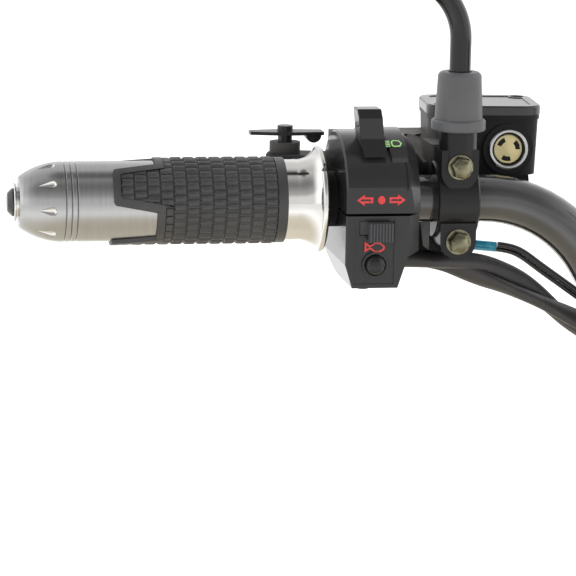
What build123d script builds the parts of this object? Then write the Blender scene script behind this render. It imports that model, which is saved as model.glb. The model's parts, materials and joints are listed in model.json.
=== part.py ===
"""Handlebar assembly of an electric all-terrain vehicle, in millimetres.

Row frame: +X to the rider's right, +Y forwards, +Z up, origin at the middle of the bar's
clamp zone. Each side is modelled as the left one in a grip frame and placed from there:
u runs along the bar's grip section from the outer end inwards, y forwards and z up.
"""
from build123d import *
import math
import os

# Bar
bar_od = 22.2
bar_wall = 2.0
bar_rise = 99.0
centre_corner_x = 78.0
upper_corner_x = 136.7
upper_corner_y = -8.8
lower_bend_r = 50.0
upper_bend_r = 62.0
grip_sweep = 10.0
grip_to_corner = 249.8
bar_end_u = 3.8

# Fits and clearances
run_gap = 0.3
slip_gap = 0.25
clamp_gap = 0.1
screw_gap = 0.15
thread_gap = 0.05

# Grip core: aluminium end cap, barrel and the tube under the rubber
cap_face_r = 12.0
cap_edge = 0.6
cap_shoulder_u = 7.0
cap_shoulder_r = 15.6
barrel_u = 18.4
barrel_r = 18.3
groove_first_u = 20.3
groove_pitch = 2.6
groove_count = 3
groove_half = 0.6
groove_depth = 0.8
drop_count = 8
drop_u = 11.0
drop_length = 8.0
drop_width = 4.6
drop_depth = 1.7
drop_first_angle = 26.0
core_r = 16.2

# Rubber sleeve: a bed for the grip pattern inside raised rims, with three tongues over the barrel
sleeve_u = 61.4
sleeve_end_u = 120.8
sleeve_bed_r = 18.9
sleeve_rim_r = 19.9
sleeve_rim = 3.4
sleeve_ring_r = 19.6
sleeve_ring = 4.4
tongue_r = 20.1
tongue_tip_u = 41.6
tongue_tip_half = 8.4
tongue_root_half = 12.1
tongue_corner_r = 1.6
tongue_rim = 3.0
tongue_count = 3
tongue_first_angle = 59.7

# Collar and neck
collar_throat_r = 18.7
collar_throat = 5.0
collar_waist_u = 12.4
collar_waist_r = 20.4
collar_flange_r = 24.5
collar_flange = 3.0
collar_end_u = 139.0
set_screw_r = 1.1
set_screw_angle = 47.0
neck_r = 12.5

# End bolt
end_head_r = 6.2
end_head = 2.8
end_washer_r = 8.5
end_washer = 1.0
end_plug = 15.0
bolt_r = 3.0

# Switch pod
pod_u = 145.3
pod_length = 34.9
pod_rim = 5.6
pod_rim_drop = 5.6
pod_edge = 0.8
pod_line_depth = 0.5
pod_line_width = 0.9
pod_r = 32.0
pod_face_y = -30.4
pod_back_y = 31.5
pod_split_z = -1.8
pod_split_gap = 1.2
pod_bottom_z = -36.0
pod_bottom_back_y = 4.0
pod_belly_y = 25.0
pod_belly_z = -24.0
pad_rise = 1.3
pad_length = 11.4
pad_front_y = -24.5
pad_back_y = 6.0
panel_low_u = 149.2
panel_high_u = 167.7
panel_low_z = -34.2
panel_high_z = -4.2
panel_depth = 0.6
track_z = -8.6
track_u = 159.5
track_length = 15.8
track_height = 6.6
track_depth = 3.0
knob_shift = 1.2
knob_length = 10.6
knob_height = 8.4
knob_rise = 5.2
knob_rib_count = 8
knob_rib = 0.75
knob_rib_rise = 0.55
button_u = 159.0
button_z = -25.3
button_r = 4.75
button_rim_r = 6.0
button_rim = 0.7
button_rise = 3.0
foot_u = 10.0
foot_y = -20.0
foot_r = 3.0
foot_rise = 1.8
outlet_length = 11.8
outlet_inset = 3.2
outlet_y = 8.5
outlet_z = -29.3
outlet_half_y = 8.6
outlet_half_z = 4.8

# Thumb key on the pod
key_low_u = 10.0
key_low_length = 11.6
key_top_u = 5.8
key_top_length = 12.0
key_low_z = 20.5
key_top_z = 44.5
key_front_y = -25.4
key_edge = 0.7

# Bar clamp, with the mirror boss on its rear half
clamp_u = 200.5
clamp_width = 19.6
clamp_shell_r = 18.0
clamp_edge = 0.7
clamp_split = 0.5
bolt_z_upper = 17.0
bolt_z_lower = -17.6
bolt_seat_y = -16.5
bolt_end_y = 15.5
bolt_head_r = 5.7
bolt_head = 5.6
bolt_flange = 1.2
bolt_dome_r = 7.2
boss_y = -10.0
boss_r = 8.7
boss_top_z = 33.0
boss_round_drop = 2.2
lug_r = 8.4
mirror_stud_r = 5.0
mirror_stud_z = 23.6

# Master cylinder
cylinder_y = 42.5
cylinder_r = 9.0
cylinder_u = 150.0
cylinder_end_u = 246.0
arm_bottom_z = -9.0
arm_low_z = 15.5
arm_high_z = 25.0
arm_near_y = 9.0
arm_far_y = 50.0
arm_shoulder_y = 34.0
flute_r = 3.4
flute_depth = 1.1
flute_count = 3
flute_step = 6.6
reservoir_u = 221.3
reservoir_y = 37.2
reservoir_length = 52.4
reservoir_depth = 41.6
reservoir_corner_r = 8.5
reservoir_floor_z = 8.0
reservoir_top_z = 36.4
reservoir_turn = -4.5
reservoir_draft = 2.0
lip_height = 2.2
lip_overhang = 0.5
cap_overhang = 0.9
cap_thickness = 4.3
cap_edge_chamfer = 0.8
cap_border = 4.0
cap_panel_depth = 0.4
cap_screw_r = 3.3
cap_screw_u = 20.6
cap_screw_y = 15.2
cap_screw_depth = 1.3
sight_u = 230.8
sight_z = 20.4
sight_boss_r = 12.0
sight_boss_rise = 1.0
sight_ring_r = 9.3
sight_ring_rise = 1.8
sight_well = 2.0
sight_glass_r = 7.0
hose_hole_r = 5.0
hose_hole_depth = 12.0

# Brake light switch and its terminal
switch_end_u = 208.0
switch_length = 20.0
switch_half_y = 5.5
switch_half_z = 6.0
switch_y = 31.0
switch_z = -26.6
terminal_r = 3.4
terminal_crimp_r = 2.4
terminal_length = 22.0
terminal_wide = 10.0
terminal_droop = 6.0

# Lever and its fork
pivot_u = 131.2
pivot_y = 54.0
pivot_bolt_r = 3.0
hub_r = 8.0
hub_half = 6.0
fork_plate = 7.6
fork_edge = 1.0
fork_boss_r = 7.3
fork_boss_top = 19.1
lever_blade = 11.0
lever_edge = 2.6
lever_tip_u = 36.0
lever_tip_y = 64.5
lever_tip_r = 8.0
lever_tip = 12.0
heel_length = 15.0
latch_z = 22.6
latch_thickness = 1.6
latch_half = 17.0
latch_pawl_u = 13.2
latch_pawl_r = 3.7

# Mirror
stem_r = 5.0
stem_bend_r = 29.5
stem_lean = 55.0
stem_corner_z = 90.0
stem_run = 76.0
stem_top_run = 44.0
stem_top_lean = 8.0
boot_lip_r = 8.1
boot_top_r = 9.7
boot_r = 11.0
boot_flange_r = 12.5
boot_flange = 5.0
boot_height = 29.3
nut_across = 15.0
nut_height = 6.5
head_width = 132.0
head_height = 86.0
head_depth = 24.0
head_wall = 2.4
head_corner_r = 26.0
head_back_r = 9.0
head_lip = 4.0
glass_thickness = 3.0
ball_r = 7.5
socket_wall = 3.0
mirror_tilt = 15.0

# Leads
sleeve_lead_r = 3.7
switch_lead_r = 2.2
tie_thickness = 1.3
tie_width = 4.6
tie_slack = 0.4
tie_margin = 0.8

bar_r = bar_od / 2
bore_r = bar_r + slip_gap
pod_end_u = pod_u + pod_length
clamp_low_u = clamp_u - clamp_width / 2
clamp_high_u = clamp_u + clamp_width / 2
reservoir_face_y = reservoir_y - reservoir_depth / 2

outer_corner = Vector(-upper_corner_x, upper_corner_y, bar_rise)
along_grip = Vector(math.cos(math.radians(grip_sweep)), math.sin(math.radians(grip_sweep)), 0)
grip_origin = outer_corner - along_grip * grip_to_corner
grip_frame = Plane(origin=grip_origin, x_dir=along_grip, z_dir=(0, 0, 1)).location


def rod(start, end, radius):
    axis = Vector(*end) - Vector(*start)
    return extrude(Plane(origin=start, z_dir=axis) * Circle(radius), axis.length)


def block(low, high):
    size = [b - a for a, b in zip(low, high)]
    centre = [(a + b) / 2 for a, b in zip(low, high)]
    return Pos(*centre) * Box(*size)


def turned(outline):
    """Solid turned about the bar's axis from (u, radius) points."""
    return revolve(Plane.XZ * make_face(Polyline(*outline, close=True)), axis=Axis.X)


def across(outline, start, length):
    """Prism along u from a face drawn in (y, z)."""
    return extrude(Plane.YZ.offset(start) * outline, length)


def facing(outline, near_y, far_y):
    """Prism along y from a face drawn in (u, z), from near_y forwards to far_y."""
    return extrude(Plane.XZ.offset(-far_y) * outline, far_y - near_y)


def upright(outline, low_z, high_z):
    """Prism along z from a face drawn in (u, y)."""
    return extrude(Pos(0, 0, low_z) * outline, high_z - low_z)


def polygon(*points):
    return make_face(Polyline(*points, close=True))


def mirrored_x(point):
    return Vector(-point.X, point.Y, point.Z)


def bar_tube():
    left_end = grip_origin + along_grip * bar_end_u
    corners = [
        left_end,
        outer_corner,
        Vector(-centre_corner_x, 0, 0),
        Vector(centre_corner_x, 0, 0),
        mirrored_x(outer_corner),
        mirrored_x(left_end),
    ]
    radii = [upper_bend_r, lower_bend_r, lower_bend_r, upper_bend_r]
    path = FilletPolyline(*corners, radius=radii)
    section = Plane(origin=path @ 0, z_dir=path % 0) * (Circle(bar_r) - Circle(bar_r - bar_wall))
    return sweep(section, path=path)


def grip_core():
    shoulder = (cap_shoulder_u, cap_shoulder_r)
    step_u = sleeve_u - screw_gap
    outline = (
        Polyline((0, 0), (0, cap_face_r - cap_edge), (cap_edge, cap_face_r))
        + ThreePointArc((cap_edge, cap_face_r), shoulder, (barrel_u, barrel_r))
        + Polyline(
            (barrel_u, barrel_r), (step_u, barrel_r), (step_u, core_r), (sleeve_end_u, core_r), (sleeve_end_u, 0), (0, 0)
        )
    )
    body = revolve(Plane.XZ * make_face(outline), axis=Axis.X)
    body -= rod((bar_end_u - run_gap, 0, 0), (sleeve_end_u, 0, 0), bore_r)
    body -= rod((0, 0, 0), (bar_end_u, 0, 0), bolt_r + screw_gap)
    for index in range(groove_count):
        centre = groove_first_u + index * groove_pitch
        body -= turned([
            (centre - groove_half, barrel_r + 0.1),
            (centre, barrel_r - groove_depth),
            (centre + groove_half, barrel_r + 0.1),
        ])
    return body - drop_cutters()


def drop_cutters():
    """Teardrop scallops round the cap, their points towards the outer end."""
    half = drop_width / 2
    round_u = drop_u + drop_length / 2 - half
    tip_u = drop_u - drop_length / 2
    touch = math.acos(half / (round_u - tip_u))
    touch_u = round_u - half * math.cos(touch)
    touch_y = half * math.sin(touch)
    outline = make_face(
        Line((tip_u, 0), (touch_u, touch_y))
        + ThreePointArc((touch_u, touch_y), (round_u + half, 0), (touch_u, -touch_y))
        + Line((touch_u, -touch_y), (tip_u, 0))
    )
    slope = (barrel_r - cap_shoulder_r) / (barrel_u - cap_shoulder_u)
    surface_r = cap_shoulder_r + slope * (drop_u - cap_shoulder_u) + 0.4
    cutter = upright(outline, surface_r - drop_depth, surface_r + drop_depth + 3)
    cutter = cutter.rotate(Axis((drop_u, 0, surface_r), (0, 1, 0)), -math.degrees(math.atan(slope)))
    step = 360 / drop_count
    return [cutter.rotate(Axis.X, drop_first_angle - 90 + index * step) for index in range(drop_count)]


def tongue_prism(margin):
    """Prism over one tongue's outline, drawn in by a margin."""
    root_u = sleeve_u + sleeve_rim
    flare = (tongue_root_half - tongue_tip_half) / (root_u - tongue_tip_u)
    tip_u = tongue_tip_u + margin
    tip_half = tongue_tip_half + flare * margin - margin
    root_half = tongue_root_half - margin
    outline = polygon((tip_u, tip_half), (root_u, root_half), (root_u, -root_half), (tip_u, -tip_half))
    tip_corners = outline.vertices().sort_by(Axis.X)[:2]
    return upright(fillet(tip_corners, tongue_corner_r), 0, tongue_r + 5)


def ring(start_u, end_u, inner, outer):
    return turned([(start_u, inner), (start_u, outer), (end_u, outer), (end_u, inner)])


def grip_sleeve():
    seat_r = core_r + screw_gap
    root_u = sleeve_u + sleeve_rim
    body = ring(sleeve_u, sleeve_end_u, seat_r, sleeve_bed_r)
    body += ring(sleeve_u, root_u, seat_r, sleeve_rim_r)
    body += ring(sleeve_end_u - sleeve_ring, sleeve_end_u, seat_r, sleeve_ring_r)
    tongue = ring(tongue_tip_u, root_u, barrel_r + screw_gap, tongue_r) & tongue_prism(0)
    pocket = ring(tongue_tip_u, root_u, sleeve_bed_r, tongue_r + 1) & tongue_prism(tongue_rim)
    angles = [tongue_first_angle + index * 360 / tongue_count for index in range(tongue_count)]
    for angle in angles:
        body += tongue.rotate(Axis.X, angle)
    for angle in angles:
        body -= pocket.rotate(Axis.X, angle)
    return body


def grip_collar():
    throat_end = sleeve_end_u + collar_throat
    flange_u = collar_end_u - collar_flange
    corner_r = collar_flange_r - collar_flange / 2 + run_gap
    outline = (
        Polyline((sleeve_end_u, bore_r), (sleeve_end_u, collar_throat_r), (throat_end, collar_throat_r))
        + ThreePointArc(
            (throat_end, collar_throat_r), (sleeve_end_u + collar_waist_u, collar_waist_r), (flange_u, corner_r)
        )
        + ThreePointArc(
            (flange_u, corner_r), (flange_u + collar_flange / 2, collar_flange_r), (collar_end_u, corner_r)
        )
        + Polyline((collar_end_u, corner_r), (collar_end_u, bore_r), (sleeve_end_u, bore_r))
    )
    body = revolve(Plane.XZ * make_face(outline), axis=Axis.X)
    screw_u = flange_u + 1.2
    screw = rod((screw_u, 0, collar_flange_r - 4), (screw_u, 0, collar_flange_r + 2), set_screw_r)
    return body - screw.rotate(Axis.X, set_screw_angle)


def neck_ring():
    return ring(collar_end_u, pod_u - run_gap, bore_r, neck_r)


def end_bolt():
    """Domed bolt and washer outside the cap, with the shank and the plug inside the bar."""
    washer_u = -run_gap
    head_u = washer_u - end_washer
    plug_u = bar_end_u + 1
    plug_r = bar_r - bar_wall - screw_gap
    dome = ThreePointArc(
        (head_u - end_head, 0), (head_u - 0.72 * end_head, 0.66 * end_head_r), (head_u - run_gap, end_head_r)
    )
    rest = Polyline(
        (head_u - run_gap, end_head_r),
        (head_u, end_head_r),
        (head_u, end_washer_r),
        (washer_u, end_washer_r),
        (washer_u, bolt_r),
        (plug_u, bolt_r),
        (plug_u, plug_r),
        (plug_u + end_plug, plug_r),
        (plug_u + end_plug, 0),
        (head_u - end_head, 0),
    )
    return revolve(Plane.XZ * make_face(dome + rest), axis=Axis.X)


def pod_rim_cone():
    """Turned shape that tapers the pod's inner end and breaks its outer edge."""
    rim_u = pod_end_u - pod_rim
    return turned([
        (pod_u, 0),
        (pod_u, pod_r - pod_edge),
        (pod_u + pod_edge, pod_r),
        (pod_u + pod_edge, pod_r + 20),
        (rim_u, pod_r + 20),
        (rim_u, pod_r + 0.2),
        (pod_end_u, pod_r - pod_rim_drop),
        (pod_end_u, 0),
    ])


def pod_upper():
    facet_z = math.sqrt(pod_r**2 - pod_face_y**2)
    back_z = math.sqrt(pod_r**2 - pod_back_y**2)
    section = make_face(
        Polyline((pod_back_y, pod_split_z), (pod_face_y, pod_split_z), (pod_face_y, facet_z))
        + ThreePointArc((pod_face_y, facet_z), (0, pod_r), (pod_back_y, back_z))
        + Line((pod_back_y, back_z), (pod_back_y, pod_split_z))
    )
    body = across(section, pod_u, pod_length) & pod_rim_cone()
    # fine moulded line just outside the tapered rim
    line_u = pod_end_u - pod_rim - 2 * pod_line_width
    body -= ring(line_u, line_u + pod_line_width, pod_r - pod_line_depth, pod_r + 1)
    pad_u = line_u + 1.5 * pod_line_width - pad_length
    pad = ring(pad_u, pad_u + pad_length, pod_r - 2, pod_r + pad_rise)
    pad &= block((pad_u - 1, pad_front_y, key_low_z), (pod_end_u, pad_back_y, pod_r + 5))
    body += pad - facing(key_front(run_gap), pod_face_y, pad_back_y)
    return body - rod((pod_u - 1, 0, 0), (pod_end_u + 1, 0, 0), bore_r)


def pod_lower():
    top = pod_split_z - pod_split_gap
    section = make_face(
        Polyline((pod_back_y, top), (pod_face_y, top), (pod_face_y, pod_bottom_z), (pod_bottom_back_y, pod_bottom_z))
        + ThreePointArc((pod_bottom_back_y, pod_bottom_z), (pod_belly_y, pod_belly_z), (pod_back_y, top - 5))
        + Line((pod_back_y, top - 5), (pod_back_y, top))
    )
    front = polygon(
        (pod_u, top + 1),
        (pod_u, -25.5),
        (pod_u + 3.2, pod_bottom_z),
        (pod_end_u - 10.6, pod_bottom_z),
        (pod_end_u - pod_rim - 0.4, -21.6),
        (pod_end_u, -20.0),
        (pod_end_u, top + 1),
    )
    plan = polygon(
        (pod_u, pod_face_y + pod_edge),
        (pod_u + pod_edge, pod_face_y),
        (pod_end_u - pod_rim, pod_face_y),
        (pod_end_u, pod_face_y + pod_rim_drop),
        (pod_end_u, pod_back_y + 1),
        (pod_u, pod_back_y + 1),
    )
    body = across(section, pod_u, pod_length)
    body &= facing(front, pod_face_y - 1, pod_back_y + 1)
    body &= upright(plan, pod_bottom_z - 1, top)
    # sunk panel with the slide's track and the button's rim
    panel_y = pod_face_y + panel_depth
    body -= block((panel_low_u, pod_face_y - 1, panel_low_z), (panel_high_u, panel_y, panel_high_z))
    body -= block(
        (track_u - track_length / 2, pod_face_y - 1, track_z - track_height / 2),
        (track_u + track_length / 2, pod_face_y + track_depth, track_z + track_height / 2),
    )
    body += rod((button_u, panel_y + 1, button_z), (button_u, pod_face_y - button_rim, button_z), button_rim_r)
    body -= rod(
        (button_u, pod_face_y + track_depth, button_z), (button_u, pod_face_y - 2, button_z), button_r + run_gap
    )
    body += rod(
        (pod_u + foot_u, foot_y, pod_bottom_z + 1), (pod_u + foot_u, foot_y, pod_bottom_z - foot_rise), foot_r
    )
    # outlet of the two harness sleeves
    outlet_u = pod_end_u - outlet_inset
    body += block(
        (outlet_u - outlet_length, outlet_y - outlet_half_y, outlet_z - outlet_half_z),
        (outlet_u, outlet_y + outlet_half_y, outlet_z + outlet_half_z),
    )
    return body - rod((pod_u - 1, 0, 0), (pod_end_u + 1, 0, 0), bore_r)


def key_front(margin):
    """Outline of the thumb key as the rider sees it, leaning outwards."""
    low_u = pod_u + key_low_u
    top_u = pod_u + key_top_u
    return polygon(
        (low_u - margin, key_low_z),
        (low_u + key_low_length + margin, key_low_z),
        (top_u + key_top_length + margin, key_top_z),
        (top_u - margin, key_top_z),
    )


def top_key():
    """Thumb key on top of the pod, with an overhanging head."""
    side = polygon(
        (key_front_y, key_low_z),
        (key_front_y + 3.4, 31),
        (key_front_y + 2.4, 40.5),
        (key_front_y + 4.4, key_top_z),
        (key_front_y + 14.4, key_top_z),
        (key_front_y + 16.4, 28),
    )
    body = facing(key_front(0), pod_face_y, 0) & across(side, pod_u, pod_length)
    body = fillet(body.edges().filter_by(lambda edge: edge.center().Z > 30), key_edge)
    return body - rod((pod_u, 0, 0), (pod_end_u, 0, 0), pod_r)


def face_slide():
    """Sliding switch in the pod's track, with a ribbed block for a knob."""
    low_z = track_z - track_height / 2 + run_gap
    high_z = track_z + track_height / 2 - run_gap
    body = block(
        (track_u - track_length / 2 + run_gap, pod_face_y + 1, low_z),
        (track_u + track_length / 2 - run_gap, pod_face_y + track_depth, high_z),
    )
    knob_low_u = track_u + knob_shift - knob_length / 2
    knob_high_u = knob_low_u + knob_length
    knob_low_z = track_z - knob_shift - knob_height / 2
    knob_high_z = knob_low_z + knob_height
    body += block((knob_low_u, pod_face_y - run_gap, low_z), (knob_high_u, pod_face_y + 1.5, high_z))
    body += block(
        (knob_low_u, pod_face_y - knob_rise, knob_low_z), (knob_high_u, pod_face_y - run_gap, knob_high_z)
    )
    pitch = (knob_length - knob_rib) / (knob_rib_count - 1)
    for index in range(knob_rib_count):
        rib_u = knob_low_u + index * pitch
        body += block(
            (rib_u, pod_face_y - knob_rise - knob_rib_rise, knob_low_z),
            (rib_u + knob_rib, pod_face_y - knob_rise, knob_high_z),
        )
    return body


def push_button():
    button = rod((button_u, pod_face_y + track_depth, button_z), (button_u, pod_face_y - button_rise, button_z), button_r)
    return fillet(button.edges().sort_by(Axis.Y)[0], 0.8)


def half_clamp_cut():
    return rod((clamp_u - clamp_width, 0, 0), (clamp_u + clamp_width, 0, 0), bar_r + clamp_gap)


def bolt_holes():
    return [
        rod((clamp_u, bolt_seat_y - 8, z), (clamp_u, bolt_end_y + 0.5, z), bolt_r + screw_gap)
        for z in (bolt_z_upper, bolt_z_lower)
    ]


def clamp_cap():
    round_z = bolt_z_upper - boss_round_drop
    shell = rod((clamp_low_u, 0, 0), (clamp_high_u, 0, 0), clamp_shell_r)
    body = chamfer(shell.edges().filter_by(GeomType.CIRCLE), clamp_edge)
    # boss of the mirror's thread, round below the upper bolt
    body += rod((clamp_u, bolt_seat_y, round_z), (clamp_u, 0, round_z), boss_r)
    body += block((clamp_u - boss_r, bolt_seat_y, round_z), (clamp_u + boss_r, 0, bolt_z_upper + 7.6))
    body += rod((clamp_u, boss_y, round_z), (clamp_u, boss_y, boss_top_z), boss_r)
    # lug of the lower bolt
    body += rod((clamp_u, bolt_seat_y, bolt_z_lower), (clamp_u, 0, bolt_z_lower), lug_r)
    body += block((clamp_u - lug_r, bolt_seat_y, bolt_z_lower), (clamp_u + lug_r, 0, bolt_z_lower + lug_r))
    body -= rod((clamp_u, bolt_seat_y, bolt_z_upper), (clamp_u, bolt_seat_y - 6, bolt_z_upper), bolt_head_r + 0.6)
    body -= block((clamp_low_u - 1, -clamp_split, -50), (clamp_high_u + 1, 50, 60))
    body -= rod(
        (clamp_u, boss_y, mirror_stud_z - 0.4), (clamp_u, boss_y, boss_top_z + 1), mirror_stud_r + thread_gap
    )
    return body - half_clamp_cut() - bolt_holes()


def clamp_bolts():
    """Flanged hexagon bolts with domed heads."""
    bolts = []
    for z in (bolt_z_upper, bolt_z_lower):
        shank = rod((clamp_u, bolt_seat_y, z), (clamp_u, bolt_end_y, z), bolt_r)
        flange = rod((clamp_u, bolt_seat_y, z), (clamp_u, bolt_seat_y - bolt_flange, z), bolt_head_r)
        outline = Pos(clamp_u, z) * RegularPolygon(bolt_head_r - run_gap, 6)
        hexagon = facing(outline, bolt_seat_y - bolt_head, bolt_seat_y)
        dome = Pos(clamp_u, bolt_seat_y + bolt_dome_r - bolt_head, z) * Sphere(bolt_dome_r)
        bolts.append(shank + flange + (hexagon & dome))
    return Compound(children=bolts)


def reservoir_place():
    return Pos(reservoir_u, reservoir_y) * Rot(0, 0, reservoir_turn)


def reservoir_outline(margin=0.0):
    return reservoir_place() * RectangleRounded(
        reservoir_length + 2 * margin, reservoir_depth + 2 * margin, reservoir_corner_r + margin
    )


def perch_arm():
    """Arm from the clamp to the cylinder, its top rising forwards, with slanting flutes."""
    plan = polygon(
        (clamp_low_u - 2, arm_near_y),
        (clamp_low_u - 4.5, 24),
        (pod_end_u + 1.5, arm_shoulder_y),
        (cylinder_u + 14, arm_shoulder_y),
        (cylinder_u + 14, arm_far_y),
        (clamp_high_u + 2, arm_far_y),
        (clamp_high_u, arm_near_y),
    )
    side = polygon(
        (arm_near_y, arm_bottom_z),
        (arm_near_y, arm_low_z),
        (arm_shoulder_y, arm_high_z),
        (arm_far_y, arm_high_z + 1),
        (arm_far_y, arm_bottom_z),
    )
    body = upright(plan, arm_bottom_z, arm_high_z + 1) & across(side, cylinder_u, clamp_high_u + 2 - cylinder_u)
    lift = flute_r - flute_depth
    rise = (arm_high_z - arm_low_z) / (arm_shoulder_y - arm_near_y)
    for index in range(flute_count):
        near_u = clamp_low_u + 5 + index * flute_step
        start = Vector(near_u, arm_near_y - 2, arm_low_z - 2 * rise + lift)
        end = Vector(near_u - 17, arm_shoulder_y, arm_high_z + lift)
        body -= rod(start, end, flute_r)
    return body


def lever_fork():
    """Two plates and their root on the cylinder's outer end, with a boss for the latch's spacer."""
    gap = hub_half + run_gap
    top = gap + fork_plate
    root = Pos(cylinder_u + 14, cylinder_y + 3) * Rectangle(4, 19)
    plate = make_hull((Pos(pivot_u, pivot_y) * Circle(hub_r + 1)).edges() + root.edges())
    upper = upright(plate, gap, top)
    upper = chamfer(upper.faces().sort_by(Axis.Z)[-1].edges(), fork_edge)
    body = upper + upright(plate, -top, -gap)
    body += block((cylinder_u + 8, cylinder_y - 7, -top), (cylinder_u + 24, cylinder_y + 12, top))
    body += block((cylinder_u + 2, cylinder_y + 3, top - fork_edge), (cylinder_u + 15, cylinder_y + 11, arm_high_z))
    body += rod((pivot_u, pivot_y, gap), (pivot_u, pivot_y, fork_boss_top), fork_boss_r)
    return body - rod((pivot_u, pivot_y, -30), (pivot_u, pivot_y, 30), pivot_bolt_r + clamp_gap)


def reservoir_body():
    """Drafted tank with a lip under its cap and the boss of the sight glass."""
    body = extrude(
        Pos(0, 0, reservoir_top_z) * reservoir_outline(),
        reservoir_top_z - reservoir_floor_z,
        dir=(0, 0, -1),
        taper=reservoir_draft,
    )
    body += upright(reservoir_outline(lip_overhang), reservoir_top_z - lip_height, reservoir_top_z)
    face_y = reservoir_face_y
    body += rod((sight_u, face_y - sight_boss_rise, sight_z), (sight_u, face_y + 3, sight_z), sight_boss_r)
    body += rod((sight_u, face_y - sight_ring_rise, sight_z), (sight_u, face_y + 3, sight_z), sight_ring_r)
    return body - rod(
        (sight_u, face_y - 3, sight_z), (sight_u, face_y + sight_well, sight_z), sight_glass_r + screw_gap
    )


def perch():
    """Casting of the master cylinder: clamp half, arm, cylinder, reservoir and the lever's fork."""
    half = polygon((clamp_split, -24.6), (13, -24.6), (22, -14), (22, 25), (clamp_split, 25))
    body = across(half, clamp_low_u, clamp_width)
    body += perch_arm()
    body += rod((cylinder_u, cylinder_y, 0), (cylinder_end_u, cylinder_y, 0), cylinder_r)
    body += reservoir_body()
    neck = Pos(reservoir_u + 4, cylinder_y) * Rectangle(reservoir_length - 16, 2 * cylinder_r - 2)
    body += upright(neck, 0, reservoir_floor_z + 1)
    body += lever_fork()
    # hose outlet at the cylinder's inner end
    body -= rod((cylinder_end_u - hose_hole_depth, cylinder_y, 0), (cylinder_end_u + 1, cylinder_y, 0), hose_hole_r)
    return body - half_clamp_cut() - bolt_holes()


def reservoir_cap():
    """Lid with a sunk panel and two countersunk places for its screws."""
    top = reservoir_top_z + cap_thickness
    lid = upright(reservoir_outline(cap_overhang), reservoir_top_z, top)
    lid = chamfer(lid.faces().sort_by(Axis.Z)[-1].edges(), cap_edge_chamfer)
    lid -= upright(reservoir_outline(-cap_border), top - cap_panel_depth, top)
    for way in (-1, 1):
        place = reservoir_place() * Pos(way * cap_screw_u, way * cap_screw_y, 0)
        lid += place * Pos(0, 0, top - cap_panel_depth - 1) * extrude(Circle(cap_screw_r + 1), cap_panel_depth + 1)
        lid -= place * Pos(0, 0, top - cap_screw_depth) * extrude(Circle(cap_screw_r), cap_thickness)
    return lid


def sight_glass():
    face_y = reservoir_face_y
    return rod((sight_u, face_y - sight_boss_rise, sight_z), (sight_u, face_y + sight_well, sight_z), sight_glass_r)


def brake_lever():
    """Cast lever: a hub with a heel, a blade that bows forwards of the grip, and a round end."""
    # u, y, half-width at each station of the blade, from the hub out
    stations = [
        (pivot_u - 3, pivot_y + 2.5, hub_r - 1.2),
        (112.0, 62.4, 5.9),
        (92.0, 66.0, 5.3),
        (64.0, 67.0, 5.0),
        (lever_tip_u, lever_tip_y, 4.7),
    ]
    front = [(u, y + half) for u, y, half in stations]
    rear = [(u, y - half) for u, y, half in reversed(stations)]
    outline = make_face(Spline(*front) + Line(front[-1], rear[0]) + Spline(*rear) + Line(rear[-1], front[0]))
    blade = upright(outline, -lever_blade / 2, lever_blade / 2)
    long_edges = blade.faces().filter_by(Axis.Z).edges().filter_by(lambda edge: edge.length > 3 * lever_tip_r)
    blade = fillet(long_edges, lever_edge)
    hub = rod((pivot_u, pivot_y, -hub_half), (pivot_u, pivot_y, hub_half), hub_r)
    tip = rod((lever_tip_u, lever_tip_y, -lever_tip / 2), (lever_tip_u, lever_tip_y, lever_tip / 2), lever_tip_r)
    tip = fillet(tip.edges().filter_by(GeomType.CIRCLE), lever_tip / 2 - 0.8)
    heel = block(
        (pivot_u, pivot_y - heel_length, -hub_half + 1), (pivot_u + hub_r + 1, pivot_y, hub_half - 1)
    )
    body = blade + hub + tip + heel
    return body - rod((pivot_u, pivot_y, -30), (pivot_u, pivot_y, 30), pivot_bolt_r + clamp_gap)


def pivot_bolt(with_latch):
    """Pivot bolt with its spacer; under the latch the head sits higher."""
    low = -hub_half - run_gap - fork_plate
    seat = latch_z + latch_thickness if with_latch else fork_boss_top
    bolt = rod((pivot_u, pivot_y, low - 4), (pivot_u, pivot_y, seat), pivot_bolt_r)
    bolt += rod((pivot_u, pivot_y, seat), (pivot_u, pivot_y, seat + 2.6), 3.7)
    bolt += upright(Pos(pivot_u, pivot_y) * RegularPolygon(5.2, 6), low - 4, low)
    if with_latch:
        bolt += rod((pivot_u, pivot_y, fork_boss_top), (pivot_u, pivot_y, latch_z), pivot_bolt_r + 0.4)
    return bolt


def parking_latch():
    """Bent plate over the fork, with a half-round pawl under its inner end."""
    plate = upright(
        polygon(
            (pivot_u - latch_half, pivot_y - 2.5),
            (pivot_u - latch_half, pivot_y + 3.5),
            (pivot_u - 2, pivot_y + 6),
            (pivot_u + latch_half + 1, pivot_y + 4),
            (pivot_u + latch_half + 1, pivot_y - 5),
            (pivot_u - 2, pivot_y - 6),
        ),
        latch_z,
        latch_z + latch_thickness,
    )
    pawl_u = pivot_u + latch_pawl_u
    pawl = rod((pawl_u, pivot_y - 4, latch_z), (pawl_u, pivot_y + 3, latch_z), latch_pawl_r)
    plate += pawl & block((pawl_u - 8, pivot_y - 6, latch_z - 5), (pawl_u + 5, pivot_y + 6, latch_z + 1))
    return plate - rod((pivot_u, pivot_y, 0), (pivot_u, pivot_y, 40), pivot_bolt_r + screw_gap)


def brake_switch():
    """Brake light switch hung under the arm, its terminal facing inwards."""
    low = (switch_end_u - switch_length, switch_y - switch_half_y, switch_z - switch_half_z)
    body = block(low, (switch_end_u, switch_y + switch_half_y, arm_bottom_z))
    return chamfer(body.faces().sort_by(Axis.Z)[0].edges(), 1.0)


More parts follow.
